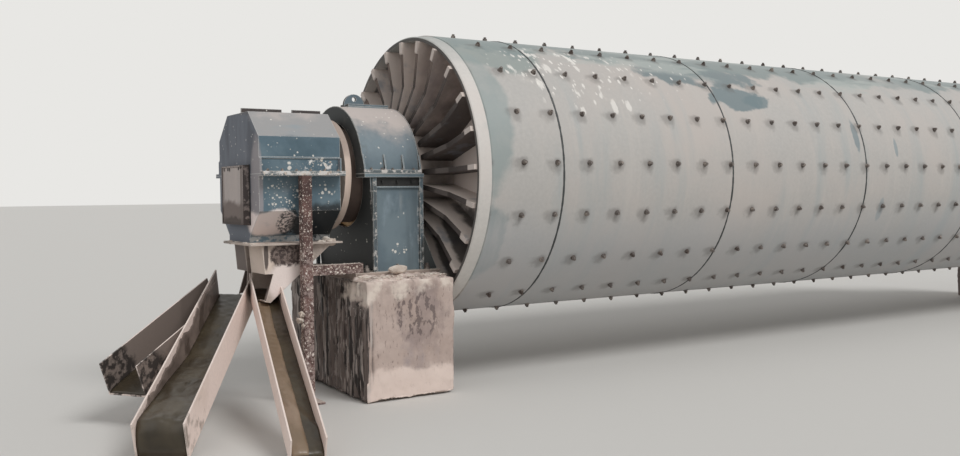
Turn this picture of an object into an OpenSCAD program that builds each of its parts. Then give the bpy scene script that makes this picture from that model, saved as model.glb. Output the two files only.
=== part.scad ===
// Wet grinding ball mill on two trunnion bearings, with its discharge hood and launders.
// X runs along the drum axis from the discharge end to the feed end, Z is up.
// The origin is on the ground, under the drum axis, at the middle of the discharge pier.

/* [Drum] */
// Height of the drum axis above the ground
axis_h = 1330; // [1250:10:1600]
// Outside diameter of the shell
shell_od = 1830; // [1700:10:1900]
// Thickness of the shell plate
shell_t = 20; // [16:1:30]
// Length of each long shell course
course_len = 1475; // [1300:5:1600]
// Number of long shell courses
long_courses = 4; // [4:1:4]
// Length of the short course at each end
end_course_len = 526; // [460:2:660]
// Width of the weld groove chamfer at a course edge
weld_chamfer = 6; // [3:1:8]
// Distance from the pier middle to the face of the near drum rim
rim_x = 329; // [325:1:360]
// Width of the rim ring along the axis
rim_w = 80; // [50:1:100]
// Depth of the rim ring towards the axis
rim_depth = 40; // [32:1:50]
// Fall of the outside of the rim ring towards its face
rim_taper = 14; // [8:1:20]

/* [Heads and trunnions] */
// Distance from the rim face to the outer face of the head wall
head_recess = 156; // [140:1:180]
// Thickness of the head wall
head_t = 40; // [30:1:50]
// Number of radial ribs cast on each head
rib_count = 24; // [20:1:26]
// Thickness of a rib
rib_t = 32; // [20:1:40]
// Reach of the rib tips in front of the rim face
rib_reach = 22; // [10:1:22]
// Angle of the first rib above the horizontal
rib_phase = 2; // [0:0.5:10]
// Outside diameter of the journal
journal_od = 600; // [560:10:620]
// Bore of the hollow trunnion
trunnion_bore = 400; // [340:10:420]
// Wall of the head hub around the trunnion
hub_wall = 45; // [35:1:50]
// Outside diameter of the trunnion end flange
end_flange_od = 690; // [660:5:700]
// Outside diameter of the discharge lip inside the hood
lip_od = 500; // [470:5:520]

/* [Bearings] */
// Outside radius of the bearing cap
cap_r = 430; // [410:5:450]
// Length of the bearing cap along the axis
cap_len = 385; // [370:5:385]
// Sheet thickness of the bearing cap
cap_t = 12; // [8:1:16]
// Length of the bearing base along the axis at the top
base_len = 355; // [340:5:360]
// Wall of the bearing base
base_t = 20; // [14:1:24]
// Lean of the outer end wall of the bearing base
base_lean = 45; // [20:1:60]
// Overhang of the split flanges beyond the cap
split_lip = 25; // [15:1:35]
// Thickness of each split flange
split_t = 22; // [16:1:26]
// Length of the bearing bush
bush_len = 260; // [220:5:280]
// Wall of the bearing bush
bush_wall = 40; // [30:1:50]
// Running clearance between journal and bush
journal_gap = 0.1; // [0.05:0.01:0.1]
// Gap between the neck and the holes in cap and base
neck_gap = 30; // [20:1:40]
// Thickness of a gusset plate
gusset_t = 14; // [10:1:18]
// Height of the drum axis above the sole plate
saddle_h = 590; // [570:5:600]
// Thickness of the sole plate
sole_t = 40; // [30:1:60]

/* [Piers] */
// Length of a pier along the axis
pier_len = 600; // [580:10:620]
// Reach of a pier in front of the axis
pier_front = 650; // [600:10:700]
// Reach of a pier behind the axis
pier_back = 520; // [500:10:700]

/* [Discharge hood] */
// Distance from the pier middle to the inner end of the hood
hood_near = 310; // [300:5:320]
// Length of the hood along the axis
hood_len = 500; // [460:10:540]
// Half width of the hood
hood_half_w = 360; // [345:5:375]
// Height of the hood roof above the axis
hood_rise = 365; // [350:5:380]
// Half width of the flat roof
hood_roof_half = 190; // [170:5:200]
// Height of the upright side above and below the axis
hood_side = 215; // [200:5:230]
// Sheet thickness of hood and hopper
sheet_t = 8; // [6:1:10]
// Reach of the hood split flange beyond its side
hood_lip = 80; // [76:1:90]
// Thickness of each hood split flange
hood_lip_t = 13; // [8:1:16]
// Depth of the hood floor flange below the axis
hood_drop = 400; // [390:5:420]

/* [Spouts and launders] */
// Width of the front spout
front_spout_w = 230; // [200:5:235]
// Width of the rear spout
rear_spout_w = 190; // [160:5:200]
// Depth of the spout lips below the hopper flange
spout_drop = 330; // [300:5:340]
// Inside width of the front launder
front_launder_w = 150; // [130:5:160]
// Wall height of the front launder
front_launder_h = 110; // [80:5:120]
// Fall of the front launder in degrees
front_launder_fall = 22.5; // [20:0.1:22.6]
// Length of the front launder
front_launder_len = 1640; // [1300:5:1645]
// Inside width of the rear launder
rear_launder_w = 225; // [200:5:240]
// Wall height of the rear launder
rear_launder_h = 180; // [150:5:190]
// Fall of the rear launder in degrees
rear_launder_fall = 20.3; // [18:0.1:20.5]
// Length of the rear launder
rear_launder_len = 1640; // [1400:10:1650]
// Length of the far launder
far_launder_len = 980; // [800:10:1100]
// Plate thickness of the launders
launder_t = 8; // [5:1:10]
// Side of the square post under the hood
post_side = 58; // [50:1:70]
// Wall of the square post
post_t = 6; // [4:1:8]

/* [Hidden] */
$fn = 96;

// Clearance between pieces that are seated on round faces
seat = 0.3;
// Overlap of cutting tools past the faces that they cut
cut = 5;

shell_r = shell_od / 2;
journal_r = journal_od / 2;
hub_r = journal_r + hub_wall;
barrel_x = rim_x + rim_w;
barrel_len = long_courses * course_len + 2 * end_course_len;
far_rim_x = barrel_x + barrel_len;
middle_x = barrel_x + barrel_len / 2;
head_x = rim_x + head_recess;

sole_top = axis_h - saddle_h;
pier_h = sole_top - sole_t;
bearing_x = 27;
cap_x0 = -195;
cap_x1 = cap_x0 + cap_len;
base_x0 = -150;
base_x1 = base_x0 + base_len;
neck_r = journal_r + neck_gap;
bush_r = journal_r + journal_gap;
bush_or = bush_r + bush_wall;
gusset_foot = 95;
gusset_rise = 235;

hood_x1 = -hood_near;
hood_x0 = hood_x1 - hood_len;
hood_floor_z = axis_h - hood_drop;
flange_t = 10;
hopper_top = hood_floor_z - flange_t;
lip_z = hopper_top - spout_drop;
post_y = -hood_half_w - hood_lip + 10;
post_x = hood_x0 + 0.45 * hood_len + 24;

// Round bar or disc along the drum axis, from x0 over a length
module axis_disc(r, x0, len) {
    translate([x0, 0, axis_h]) rotate([0, 90, 0]) cylinder(r = r, h = len);
}

// Ring along the drum axis
module axis_ring(r_out, r_in, x0, len) {
    difference() {
        axis_disc(r_out, x0, len);
        axis_disc(r_in, x0 - cut, len + 2 * cut);
    }
}

// Solid of revolution about the drum axis, its outline given as [x, r]
module axis_turn(outline) {
    translate([0, 0, axis_h]) rotate([0, 90, 0]) rotate_extrude() polygon([for (p = outline) [p[1], p[0]]]);
}

// The same piece at the feed end, mirrored about the middle of the drum
module at_feed_end() {
    translate([2 * middle_x, 0, 0]) mirror([1, 0, 0]) children();
}

// Flat plate standing across Y, its outline given as [x, z]
module side_plate(outline, y0, thick) {
    translate([0, y0 + thick, 0]) rotate([90, 0, 0]) linear_extrude(thick) polygon(outline);
}

// Flat plate standing across X, its outline given as [y, z]
module end_plate(outline, x0, thick) {
    translate([x0, 0, 0]) rotate([90, 0, 90]) linear_extrude(thick) polygon(outline);
}

// Shell course number i, counted from the discharge end
function course_x0(i) = i == 0 ? barrel_x : barrel_x + end_course_len + (i - 1) * course_len;
function course_length(i) = i == 0 || i == long_courses + 1 ? end_course_len : course_len;

module shell_course(i) {
    x0 = course_x0(i);
    x1 = x0 + course_length(i);
    c = weld_chamfer;
    color("#a6aaa5") axis_turn([
        [x0, shell_r - shell_t], [x1, shell_r - shell_t], [x1, shell_r - c],
        [x1 - c, shell_r], [x0 + c, shell_r], [x0, shell_r - c]]);
}

// Rim ring with a slightly tapered outside, which ends at the weld groove of the first course
module rim_ring() {
    color("#b4bab6") axis_turn([
        [rim_x, shell_r - rim_depth], [barrel_x, shell_r - rim_depth], [barrel_x, shell_r - weld_chamfer],
        [rim_x + weld_chamfer, shell_r - rim_taper], [rim_x, shell_r - rim_taper - weld_chamfer]]);
}

// Outline of one head rib as [x, r]: cut away at the hub, with a raised pad at its tip
rib_tip_r = shell_r - rim_depth - seat;
rib_face_x = rim_x - rib_reach;
pad_len = 85;
pad_step = 12;
rib_root_r = journal_r + hub_wall / 2;
rib_outline = [
    [head_x + head_t / 2, rib_root_r], [rim_x - 75, rib_root_r], [rim_x - 75, hub_r + 25],
    [rim_x - 45, hub_r + 120], [rib_face_x + pad_step, hub_r + 240],
    [rib_face_x + pad_step, rib_tip_r - pad_len], [rib_face_x, rib_tip_r - pad_len + pad_step],
    [rib_face_x, rib_tip_r], [head_x + head_t / 2, rib_tip_r]];

module head_rib(angle) {
    translate([0, 0, axis_h]) rotate([angle, 0, 0]) translate([0, rib_t / 2, 0]) rotate([90, 0, 0])
        linear_extrude(rib_t) polygon([for (p = rib_outline) [p[0], p[1]]]);
}

module ribbed_head() {
    wall_r = shell_r - shell_t - seat;
    color("#6f645c") union() {
        axis_ring(wall_r, journal_r + seat, head_x, head_t);
        axis_ring(hub_r, journal_r + seat, rim_x - 85, head_recess + 85 + head_t / 2);
        for (i = [0 : rib_count - 1]) head_rib(90 - rib_phase + i * 360 / rib_count);
    }
}

module trunnion() {
    bore_r = trunnion_bore / 2;
    flange_x = cap_x0 - 75;
    flange_w = 40;
    lip_x = hood_x1 - 90;
    color("#8c7b70") axis_turn([
        [lip_x, bore_r], [head_x + head_t, bore_r], [head_x + head_t, journal_r],
        [flange_x + flange_w, journal_r], [flange_x + flange_w, end_flange_od / 2],
        [flange_x, end_flange_od / 2], [flange_x, lip_od / 2], [lip_x, lip_od / 2]]);
}

module pier() {
    color("#cdb9af") translate([-pier_len / 2, -pier_front, 0])
        cube([pier_len, pier_front + pier_back, pier_h]);
}

module sole_plate() {
    sole_half = cap_r + split_lip + 20;
    color("#8b8179") translate([cap_x0 - 75, -sole_half, pier_h])
        cube([base_x1 + gusset_foot - cap_x0 + 75, 2 * sole_half, sole_t]);
}

// Bearing base: a welded box with a round saddle for the bush
module bearing_base() {
    top = axis_h - split_t;
    outer = [[base_x0, top], [base_x1, top], [base_x1, sole_top], [base_x0 + base_lean, sole_top]];
    inner = [[base_x0 + base_t, axis_h + cut], [base_x1 - base_t, axis_h + cut],
        [base_x1 - base_t, sole_top + base_t], [base_x0 + base_lean + base_t, sole_top + base_t]];
    foot = base_x1 + gusset_foot;
    gusset = [[base_x1 - cut, sole_top], [foot, sole_top], [foot, sole_top + 8],
        [base_x1, sole_top + gusset_rise], [base_x1 - cut, sole_top + gusset_rise]];
    color("#5a6f78") difference() {
        union() {
            difference() {
                union() {
                    side_plate(outer, -cap_r, 2 * cap_r);
                    translate([cap_x0, -cap_r - split_lip, top])
                        cube([base_x1 - cap_x0, 2 * (cap_r + split_lip), split_t]);
                }
                side_plate(inner, -cap_r + base_t, 2 * (cap_r - base_t));
            }
            translate([bearing_x - bush_len / 2, -bush_or - base_t, sole_top])
                cube([bush_len, 2 * (bush_or + base_t), axis_h - sole_top]);
            for (y0 = [-cap_r, cap_r - gusset_t]) side_plate(gusset, y0, gusset_t);
        }
        axis_disc(neck_r, cap_x0 - cut, base_x1 - cap_x0 + 2 * cut);
        axis_disc(bush_or + seat, bearing_x - bush_len / 2 - 1, bush_len + 2);
    }
}

module bush() {
    color("#b08d57") difference() {
        axis_ring(bush_or, bush_r, bearing_x - bush_len / 2, bush_len);
        translate([bearing_x - bush_len, -bush_or - cut, axis_h - seat])
            cube([2 * bush_len, 2 * (bush_or + cut), bush_or + cut]);
    }
}

// Small upright stiffener on the cap, just above its split flange
module cap_stiffener(x) {
    for (side = [-1, 1]) end_plate([
        [side * (cap_r - cap_t), axis_h + split_t / 2], [side * (cap_r + split_lip - 3), axis_h + split_t / 2],
        [side * (cap_r + split_lip - 3), axis_h + split_t + 4], [side * (cap_r - 6), axis_h + 115],
        [side * (cap_r - cap_t), axis_h + 115]], x, 10);
}

module bearing_cap() {
    inner_r = cap_r - cap_t;
    flange_w = cap_r + split_lip;
    color("#5a6f78") difference() {
        union() {
            axis_disc(cap_r, cap_x0, cap_len);
            translate([cap_x0, -flange_w, axis_h]) cube([cap_len, 2 * flange_w, split_t]);
            for (x = [cap_x0, cap_x0 + cap_len * 0.36, cap_x0 + cap_len * 0.68, cap_x1 - 10]) cap_stiffener(x);
            translate([bearing_x - 140, -60, axis_h + inner_r - 8]) cube([280, 120, cap_t + 12]);
        }
        axis_disc(inner_r, cap_x0 + cap_t, cap_len - 2 * cap_t);
        axis_disc(neck_r, cap_x0 - cut, cap_len + 2 * cut);
        translate([cap_x0 - cut, -flange_w - cut, axis_h - cap_r - cut])
            cube([cap_len + 2 * cut, 2 * (flange_w + cut), cap_r + cut]);
    }
}

// Lifting lug: a flat plate with a half-round ear and its eye
module lifting_lug() {
    plate_z = axis_h + cap_r + 4;
    plate_t = 14;
    ear_r = 70;
    ear_x = bearing_x - 78;
    ear_z = plate_z + plate_t - 4;
    eye_r = 14;
    eye_rise = 38;
    color("#49585f") difference() {
        union() {
            translate([bearing_x - 140, -60, plate_z]) cube([280, 120, plate_t]);
            translate([ear_x, 10, ear_z]) rotate([90, 0, 0]) cylinder(r = ear_r, h = 20);
        }
        translate([ear_x, 20, ear_z + eye_rise]) rotate([90, 0, 0]) cylinder(r = eye_r, h = 40);
        translate([bearing_x - 200, -100, plate_z - 100]) cube([400, 200, 100]);
    }
}

// Outline of the eight-sided hood as [y, z], grown by an offset; the skirt goes below it
function hood_top(g) = [
    [hood_half_w + g, axis_h], [hood_half_w + g, axis_h + hood_side + 0.4 * g],
    [hood_roof_half + 0.4 * g, axis_h + hood_rise + g], [-hood_roof_half - 0.4 * g, axis_h + hood_rise + g],
    [-hood_half_w - g, axis_h + hood_side + 0.4 * g], [-hood_half_w - g, axis_h]];
function hood_bottom(g) = [
    [-hood_half_w - g, axis_h], [-hood_half_w - g, axis_h - hood_side - 0.4 * g],
    [-hood_roof_half - g, axis_h - hood_rise + 0.4 * g], [-hood_roof_half - g, hood_floor_z],
    [hood_roof_half + g, hood_floor_z], [hood_roof_half + g, axis_h - hood_rise + 0.4 * g],
    [hood_half_w + g, axis_h - hood_side - 0.4 * g], [hood_half_w + g, axis_h]];

hood_hole_r = lip_od / 2 + neck_gap;

module hood_upper() {
    latch_w = 65;
    latch_x = 0.5 * hood_len;
    seam_h = 28;
    seam_t = 10;
    seam_y = 75;
    seam_foot = 4;
    color("#45616a") difference() {
        union() {
            end_plate(hood_top(0), hood_x0, hood_len);
            translate([hood_x0, -hood_half_w - hood_lip, axis_h])
                cube([hood_len, 2 * (hood_half_w + hood_lip), hood_lip_t]);
            for (span = [[0, latch_x], [latch_x + latch_w, hood_len]])
                translate([hood_x0 + span[0], -seam_y, axis_h + hood_rise - seam_foot])
                    cube([span[1] - span[0], seam_t, seam_h + seam_foot]);
            for (y0 = [-hood_half_w - 7, hood_half_w - 1])
                translate([hood_x0, y0, axis_h + 88]) cube([hood_len, 8, 8]);
            for (x0 = [hood_x0, hood_x1 - 10]) translate([x0, -hood_half_w - 22, axis_h])
                cube([10, 2 * hood_half_w + 44, 90]);
        }
        translate([0, 0, -cut]) end_plate(hood_top(-sheet_t), hood_x0 + sheet_t, hood_len - 2 * sheet_t);
        axis_disc(hood_hole_r, hood_x1 - 2 * sheet_t, 4 * sheet_t);
    }
}

module hood_lower() {
    color("#45616a") difference() {
        union() {
            end_plate(hood_bottom(0), hood_x0, hood_len);
            translate([hood_x0, -hood_half_w - hood_lip, axis_h - hood_lip_t])
                cube([hood_len, 2 * (hood_half_w + hood_lip), hood_lip_t]);
        }
        end_plate(hood_bottom(-sheet_t), hood_x0 + sheet_t, hood_len - 2 * sheet_t);
        translate([hood_x0 + sheet_t, -hood_half_w + sheet_t, axis_h - hood_lip_t - 1])
            cube([hood_len - 2 * sheet_t, 2 * (hood_half_w - sheet_t), 2 * hood_lip_t]);
        translate([hood_x0 + sheet_t, -hood_roof_half + sheet_t, hood_floor_z - cut])
            cube([hood_len - 2 * sheet_t, 2 * (hood_roof_half - sheet_t), 4 * cut]);
        axis_disc(hood_hole_r, hood_x1 - 2 * sheet_t, 4 * sheet_t);
    }
}

// Inspection door: a shallow frame with a sunk panel on the outer end of the hood
module hood_door() {
    door_y0 = -210;
    door_w = 400;
    door_z0 = axis_h - 295;
    door_h = 348;
    door_d = 43;
    frame_w = 9;
    sunk = 4;
    color("#6b5d55") difference() {
        translate([hood_x0 - door_d, door_y0, door_z0]) cube([door_d, door_w, door_h]);
        translate([hood_x0 - door_d - cut, door_y0 + frame_w, door_z0 + frame_w])
            cube([sunk + cut, door_w - 2 * frame_w, door_h - 2 * frame_w]);
    }
}

// Plate between hood and spouts, its far outer corner clipped, with one hole for each spout
module hopper_flange() {
    near_y = 390;
    far_y = 205;
    x0 = hood_x0 - 65;
    x1 = hood_x1 - 5;
    clip_x = 35;
    clip_y = 100;
    throat = hood_roof_half - sheet_t;
    hole_x0 = hood_x0 + 30;
    hole_len = hood_len - 120;
    color("#b3a498") difference() {
        translate([0, 0, hopper_top]) linear_extrude(flange_t) polygon([
            [x0, -near_y], [x1, -near_y], [x1, far_y], [x0 + clip_x, far_y], [x0, far_y - clip_y]]);
        translate([hole_x0, -throat, hopper_top - cut])
            cube([hole_len, front_spout_y + front_spout_w - sheet_t + throat, flange_t + 2 * cut]);
        translate([hole_x0, rear_spout_y + sheet_t, hopper_top - cut])
            cube([hole_len, rear_spout_w - 2 * sheet_t, flange_t + 2 * cut]);
    }
}

// Side outline of a spout as [x, z], grown by g: its floor falls towards the hood's outer end
spout_x0 = hood_x0 + 10;
spout_x1 = hood_x1 - 60;
spout_lip_x = hood_x0 + 55;
mouth_h = 165;
function spout_outline(g) = [
    [spout_x0 - g, hopper_top], [spout_x1 + 2 * g, hopper_top], [spout_lip_x + g, lip_z - g],
    [spout_lip_x - 35 - g, lip_z + 8 - g], [spout_lip_x - 30 - g, lip_z + mouth_h]];

front_spout_y = -360;
rear_spout_y = -60;

module spout_body(y0, w, g = 0) {
    side_plate(spout_outline(g), y0 - g, w + 2 * g);
}

// Hollow spout with its mouth at the low end, wrapped round the corner on the outer side
module spout(y0, w, mouth_y) {
    color("#bda99c") difference() {
        spout_body(y0, w);
        side_plate([
            [spout_x0 + sheet_t, hopper_top + cut], [spout_x1 - 2 * sheet_t, hopper_top + cut],
            [spout_x1 - 2 * sheet_t, hopper_top], [spout_lip_x - sheet_t, lip_z + sheet_t],
            [spout_lip_x - 35 + sheet_t, lip_z + sheet_t + 8], [spout_lip_x - 30 + sheet_t, lip_z + mouth_h]],
            y0 + sheet_t, w - 2 * sheet_t);
        side_plate([
            [spout_lip_x - 150, lip_z + mouth_h], [spout_lip_x - 150, lip_z + 18],
            [spout_lip_x - 25, lip_z + 14], [spout_lip_x + 20, lip_z + mouth_h]], mouth_y, w - sheet_t);
        children();
    }
}

// A launder is placed by the middle of its floor at the head, its plan direction and its fall
module along(head, turn, fall) {
    translate(head) rotate([0, 0, turn]) rotate([0, fall, 0]) children();
}

// Open trough; the children are cut out of its walls
module launder(head, turn, fall, run, w, wall) {
    along(head, turn, fall) translate([0, -w / 2 - launder_t, -launder_t])
        cube([run, w + 2 * launder_t, launder_t]);
    difference() {
        along(head, turn, fall) for (y0 = [-w / 2 - launder_t, w / 2]) translate([0, y0, 0])
            cube([run, launder_t, wall]);
        children();
    }
}

// Space that a launder takes up, grown by the seat clearance
module launder_space(head, turn, fall, run, w, wall) {
    half = w / 2 + launder_t + seat;
    along(head, turn, fall) translate([-seat, -half, -launder_t - seat])
        cube([run + 2 * seat, 2 * half, wall + launder_t + 2 * seat]);
}

// Space under a launder floor, which the spouts keep clear of
module under_floor(head, turn, fall, w) {
    half = w / 2 + launder_t + seat;
    along(head, turn, fall) translate([-200, -half, -300]) cube([700, 2 * half, 300 + seat]);
}

front_head = [spout_lip_x + 36, front_spout_y + 226, lip_z + 60];
front_turn = 257.5;
rear_head = [spout_lip_x - 40, 96, lip_z + 3];
rear_turn = 239;
far_head = [spout_lip_x - 88, 100, lip_z - 47];
far_turn = 217;
far_fall = 22;

module front_launder() {
    color("#b9a698") difference() {
        launder(front_head, front_turn, front_launder_fall, front_launder_len, front_launder_w, front_launder_h)
            spout_body(front_spout_y, front_spout_w, seat);
        launder_space(rear_head, rear_turn, rear_launder_fall, rear_launder_len, rear_launder_w, rear_launder_h);
    }
}

module rear_launder() {
    color("#b9a698") launder(rear_head, rear_turn, rear_launder_fall, rear_launder_len, rear_launder_w,
        rear_launder_h) {
            spout_body(front_spout_y, front_spout_w, seat);
            spout_body(rear_spout_y, rear_spout_w, seat);
    }
}

module far_launder() {
    color("#9c8e82") difference() {
        launder(far_head, far_turn, far_fall, far_launder_len, rear_launder_w, rear_launder_h);
        launder_space(rear_head, rear_turn, rear_launder_fall, rear_launder_len, rear_launder_w, rear_launder_h);
    }
}

module front_spout() {
    spout(front_spout_y, front_spout_w, front_spout_y - cut)
        under_floor(front_head, front_turn, front_launder_fall, front_launder_w);
}

module rear_spout() {
    spout(rear_spout_y, rear_spout_w, rear_spout_y + sheet_t)
        under_floor(rear_head, rear_turn, rear_launder_fall, rear_launder_w);
}

module hood_post() {
    h = axis_h - hood_lip_t;
    color("#6e3d35") translate([post_x, post_y, 0]) difference() {
        translate([-post_side / 2, -post_side / 2, 0]) cube([post_side, post_side, h]);
        translate([-post_side / 2 + post_t, -post_side / 2 + post_t, -cut])
            cube([post_side - 2 * post_t, post_side - 2 * post_t, h + 2 * cut]);
    }
}

module post_beam() {
    x0 = post_x + post_side / 2;
    x1 = cap_x0 - 20;
    color("#6e3d35") translate([x0, post_y, sole_top + post_side / 2]) difference() {
        translate([0, -post_side / 2, -post_side / 2]) cube([x1 - x0, post_side, post_side]);
        translate([-cut, -post_side / 2 + post_t, -post_side / 2 + post_t])
            cube([x1 - x0 + 2 * cut, post_side - 2 * post_t, post_side - 2 * post_t]);
    }
}

pier();  // discharge_pier
sole_plate();  // discharge_sole_plate
bearing_base();  // discharge_bearing_base
bush();  // discharge_bush
bearing_cap();  // discharge_bearing_cap
lifting_lug();  // discharge_lifting_lug
hood_upper();
hood_lower();
hood_door();
hopper_flange();
front_spout();
rear_spout();
front_launder();
rear_launder();
far_launder();
hood_post();
post_beam();
at_feed_end() pier();  // feed_pier
at_feed_end() sole_plate();  // feed_sole_plate
at_feed_end() bearing_base();  // feed_bearing_base
at_feed_end() bush();  // feed_bush
at_feed_end() bearing_cap();  // feed_bearing_cap
at_feed_end() lifting_lug();  // feed_lifting_lug
shell_course(0);  // shell_course_1
shell_course(1);  // shell_course_2
shell_course(2);  // shell_course_3
shell_course(3);  // shell_course_4
shell_course(4);  // shell_course_5
shell_course(5);  // shell_course_6
rim_ring();  // discharge_rim
at_feed_end() rim_ring();  // feed_rim
ribbed_head();  // discharge_head
at_feed_end() ribbed_head();  // feed_head
trunnion();  // discharge_trunnion
at_feed_end() trunnion();  // feed_trunnion
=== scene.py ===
"""Looks of a wet grinding ball mill: finishes, bolts, welds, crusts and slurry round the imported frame.

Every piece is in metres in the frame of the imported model: X runs along the drum from the
discharge end to the feed end, Z is up, and the origin is on the ground under the drum axis.
"""

import logging
import math
from dataclasses import dataclass, field, replace
from enum import Enum
from itertools import product
from typing import Callable, Iterable, Sequence

import bmesh
import bpy
from mathutils import Matrix, Vector, noise


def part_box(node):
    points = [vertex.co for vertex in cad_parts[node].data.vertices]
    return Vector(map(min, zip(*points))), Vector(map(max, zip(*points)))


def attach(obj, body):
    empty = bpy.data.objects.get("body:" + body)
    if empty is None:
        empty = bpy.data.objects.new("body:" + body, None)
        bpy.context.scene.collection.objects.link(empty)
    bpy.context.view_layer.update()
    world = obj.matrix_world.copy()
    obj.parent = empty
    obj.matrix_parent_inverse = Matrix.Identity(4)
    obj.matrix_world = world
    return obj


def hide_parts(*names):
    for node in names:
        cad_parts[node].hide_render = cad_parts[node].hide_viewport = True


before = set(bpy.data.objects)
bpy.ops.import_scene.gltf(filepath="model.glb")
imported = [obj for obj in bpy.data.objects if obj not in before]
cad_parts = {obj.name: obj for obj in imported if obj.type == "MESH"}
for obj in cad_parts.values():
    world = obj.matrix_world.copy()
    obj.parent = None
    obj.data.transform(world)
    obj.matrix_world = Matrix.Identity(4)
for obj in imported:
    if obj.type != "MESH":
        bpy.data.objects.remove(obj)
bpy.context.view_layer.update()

LOG = logging.getLogger("ball_mill")
RGB = tuple[int, int, int]
Triple = tuple[float, float, float]
Socket = bpy.types.NodeSocket
ZERO, ONES, UP = (0.0, 0.0, 0.0), (1.0, 1.0, 1.0), (0.0, 0.0, 1.0)
NUMBER, GEOMETRY, MATERIAL = "NodeSocketFloat", "NodeSocketGeometry", "NodeSocketMaterial"
SOCKET_OF = {float: NUMBER, int: "NodeSocketInt", tuple: "NodeSocketVector"}
DISCHARGE, FEED = "discharge", "feed"


class Body(Enum):
    """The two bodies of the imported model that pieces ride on."""

    PLANT = "plant"
    MILL = "mill"


class Seat(Enum):
    """Where a piece rides: its body, and the slot whose finish it goes with."""

    SHELL = (Body.MILL, "shell_paint")
    BEARING = (Body.PLANT, "bearing_paint")
    SOLE = (Body.PLANT, "sole_steel")
    HOOD = (Body.PLANT, "hood_paint")
    DOOR = (Body.PLANT, "door_steel")
    HOPPER = (Body.PLANT, "hopper_steel")
    LAUNDER = (Body.PLANT, "launder_steel")
    RUSTY = (Body.PLANT, "rusty_steel")
    CONCRETE = (Body.PLANT, "concrete")


def linear(colour: RGB) -> tuple[float, float, float, float]:
    """Turns an 8-bit display colour into the linear colour that a socket takes."""
    shares = (value / 255 for value in colour)
    red, green, blue = (share / 12.92 if share <= 0.04045 else ((share + 0.055) / 1.055) ** 2.4 for share in shares)
    return red, green, blue, 1.0


class Wiring:
    """Adds nodes to one tree, and fills or links their inputs as they are made."""

    def __init__(self, tree: bpy.types.NodeTree) -> None:
        """Takes the tree that gets the nodes."""
        self.tree = tree

    def put(self, kind: str, inputs: dict | None = None, **settings) -> bpy.types.Node:
        """Adds a node.

        Args:
            kind: Blender's name of the node type.
            inputs: Socket name or number to a value, or to the socket that feeds it.
            **settings: Options of the node itself.

        Returns:
            The new node.
        """
        made = self.tree.nodes.new(kind)
        for name, value in settings.items():
            setattr(made, name, value)
        for key, value in (inputs or {}).items():
            if isinstance(value, Socket):
                self.tree.links.new(value, made.inputs[key])
            else:
                made.inputs[key].default_value = value
        return made

    def get(self, kind: str, inputs: dict | None = None, output: int | str = 0, **settings) -> Socket:
        """Adds a node and returns one of its outputs."""
        return self.put(kind, inputs, **settings).outputs[output]

    def maths(self, operation: str, *values) -> Socket:
        """Adds one Math node and returns its result."""
        return self.get("ShaderNodeMath", dict(enumerate(values)), operation=operation)

    def add(self, first, second) -> Socket:
        """The sum of two numbers."""
        return self.maths("ADD", first, second)

    def mul(self, first, second) -> Socket:
        """The product of two numbers."""
        return self.maths("MULTIPLY", first, second)

    def sub(self, first, second) -> Socket:
        """The first number less the second."""
        return self.maths("SUBTRACT", first, second)

    def vectors(self, operation: str, *values) -> Socket:
        """Adds one Vector Math node and returns its vector, or its number where it makes one."""
        output = "Value" if operation in ("LENGTH", "DOT_PRODUCT") else "Vector"
        return self.get("ShaderNodeVectorMath", dict(enumerate(values)), output, operation=operation)

    def scaled(self, vector, scale) -> Socket:
        """A vector times a number."""
        return self.get("ShaderNodeVectorMath", {0: vector, "Scale": scale}, operation="SCALE")

    def xyz(self, x=0.0, y=0.0, z=0.0) -> Socket:
        """A vector of three numbers."""
        return self.get("ShaderNodeCombineXYZ", {0: x, 1: y, 2: z})

    def dice(self, low, high, seed: int) -> Socket:
        """A random number for each element, or a random vector where the limits are vectors."""
        kind, output = ("FLOAT", 1) if isinstance(low, float) else ("FLOAT_VECTOR", 0)
        return self.get("FunctionNodeRandomValue", {"Min": low, "Max": high, "Seed": seed}, output, data_type=kind)


class Group(Wiring):
    """A node group under construction. Its inputs are looked up by name."""

    def __init__(self, name: str, kind: str, takes: dict, gives: str) -> None:
        """Starts the group with its sockets.

        Args:
            name: Name of the group.
            kind: Blender's name of the tree type.
            takes: Input name to its default value, or to its socket type where it has none.
            gives: Socket type of its one output.
        """
        super().__init__(bpy.data.node_groups.new(name, kind))
        add_socket = self.tree.interface.new_socket
        for label, value in takes.items():
            if isinstance(value, str):
                add_socket(label, in_out="INPUT", socket_type=value)
            else:
                add_socket(label, in_out="INPUT", socket_type=SOCKET_OF[type(value)]).default_value = value
        add_socket("Result", in_out="OUTPUT", socket_type=gives)
        self.given = self.tree.nodes.new("NodeGroupInput").outputs
        self.out = self.tree.nodes.new("NodeGroupOutput").inputs[0]

    def __getitem__(self, label: str) -> Socket:
        """One of the group's inputs."""
        return self.given[label]

    def finish(self, result: Socket) -> bpy.types.NodeTree:
        """Links the result and returns the tree."""
        self.tree.links.new(result, self.out)
        return self.tree


# Masks that the finishes share


class Mask(Enum):
    """Kinds of mask that a layer of a finish can follow. The value is the group's name."""

    PATCH = "patch_mask"
    SPECK = "speck_mask"
    FACING = "facing_mask"
    EDGE = "edge_mask"
    BOLTS = "bolt_stain_mask"
    ZONE = "zone_mask"


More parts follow.
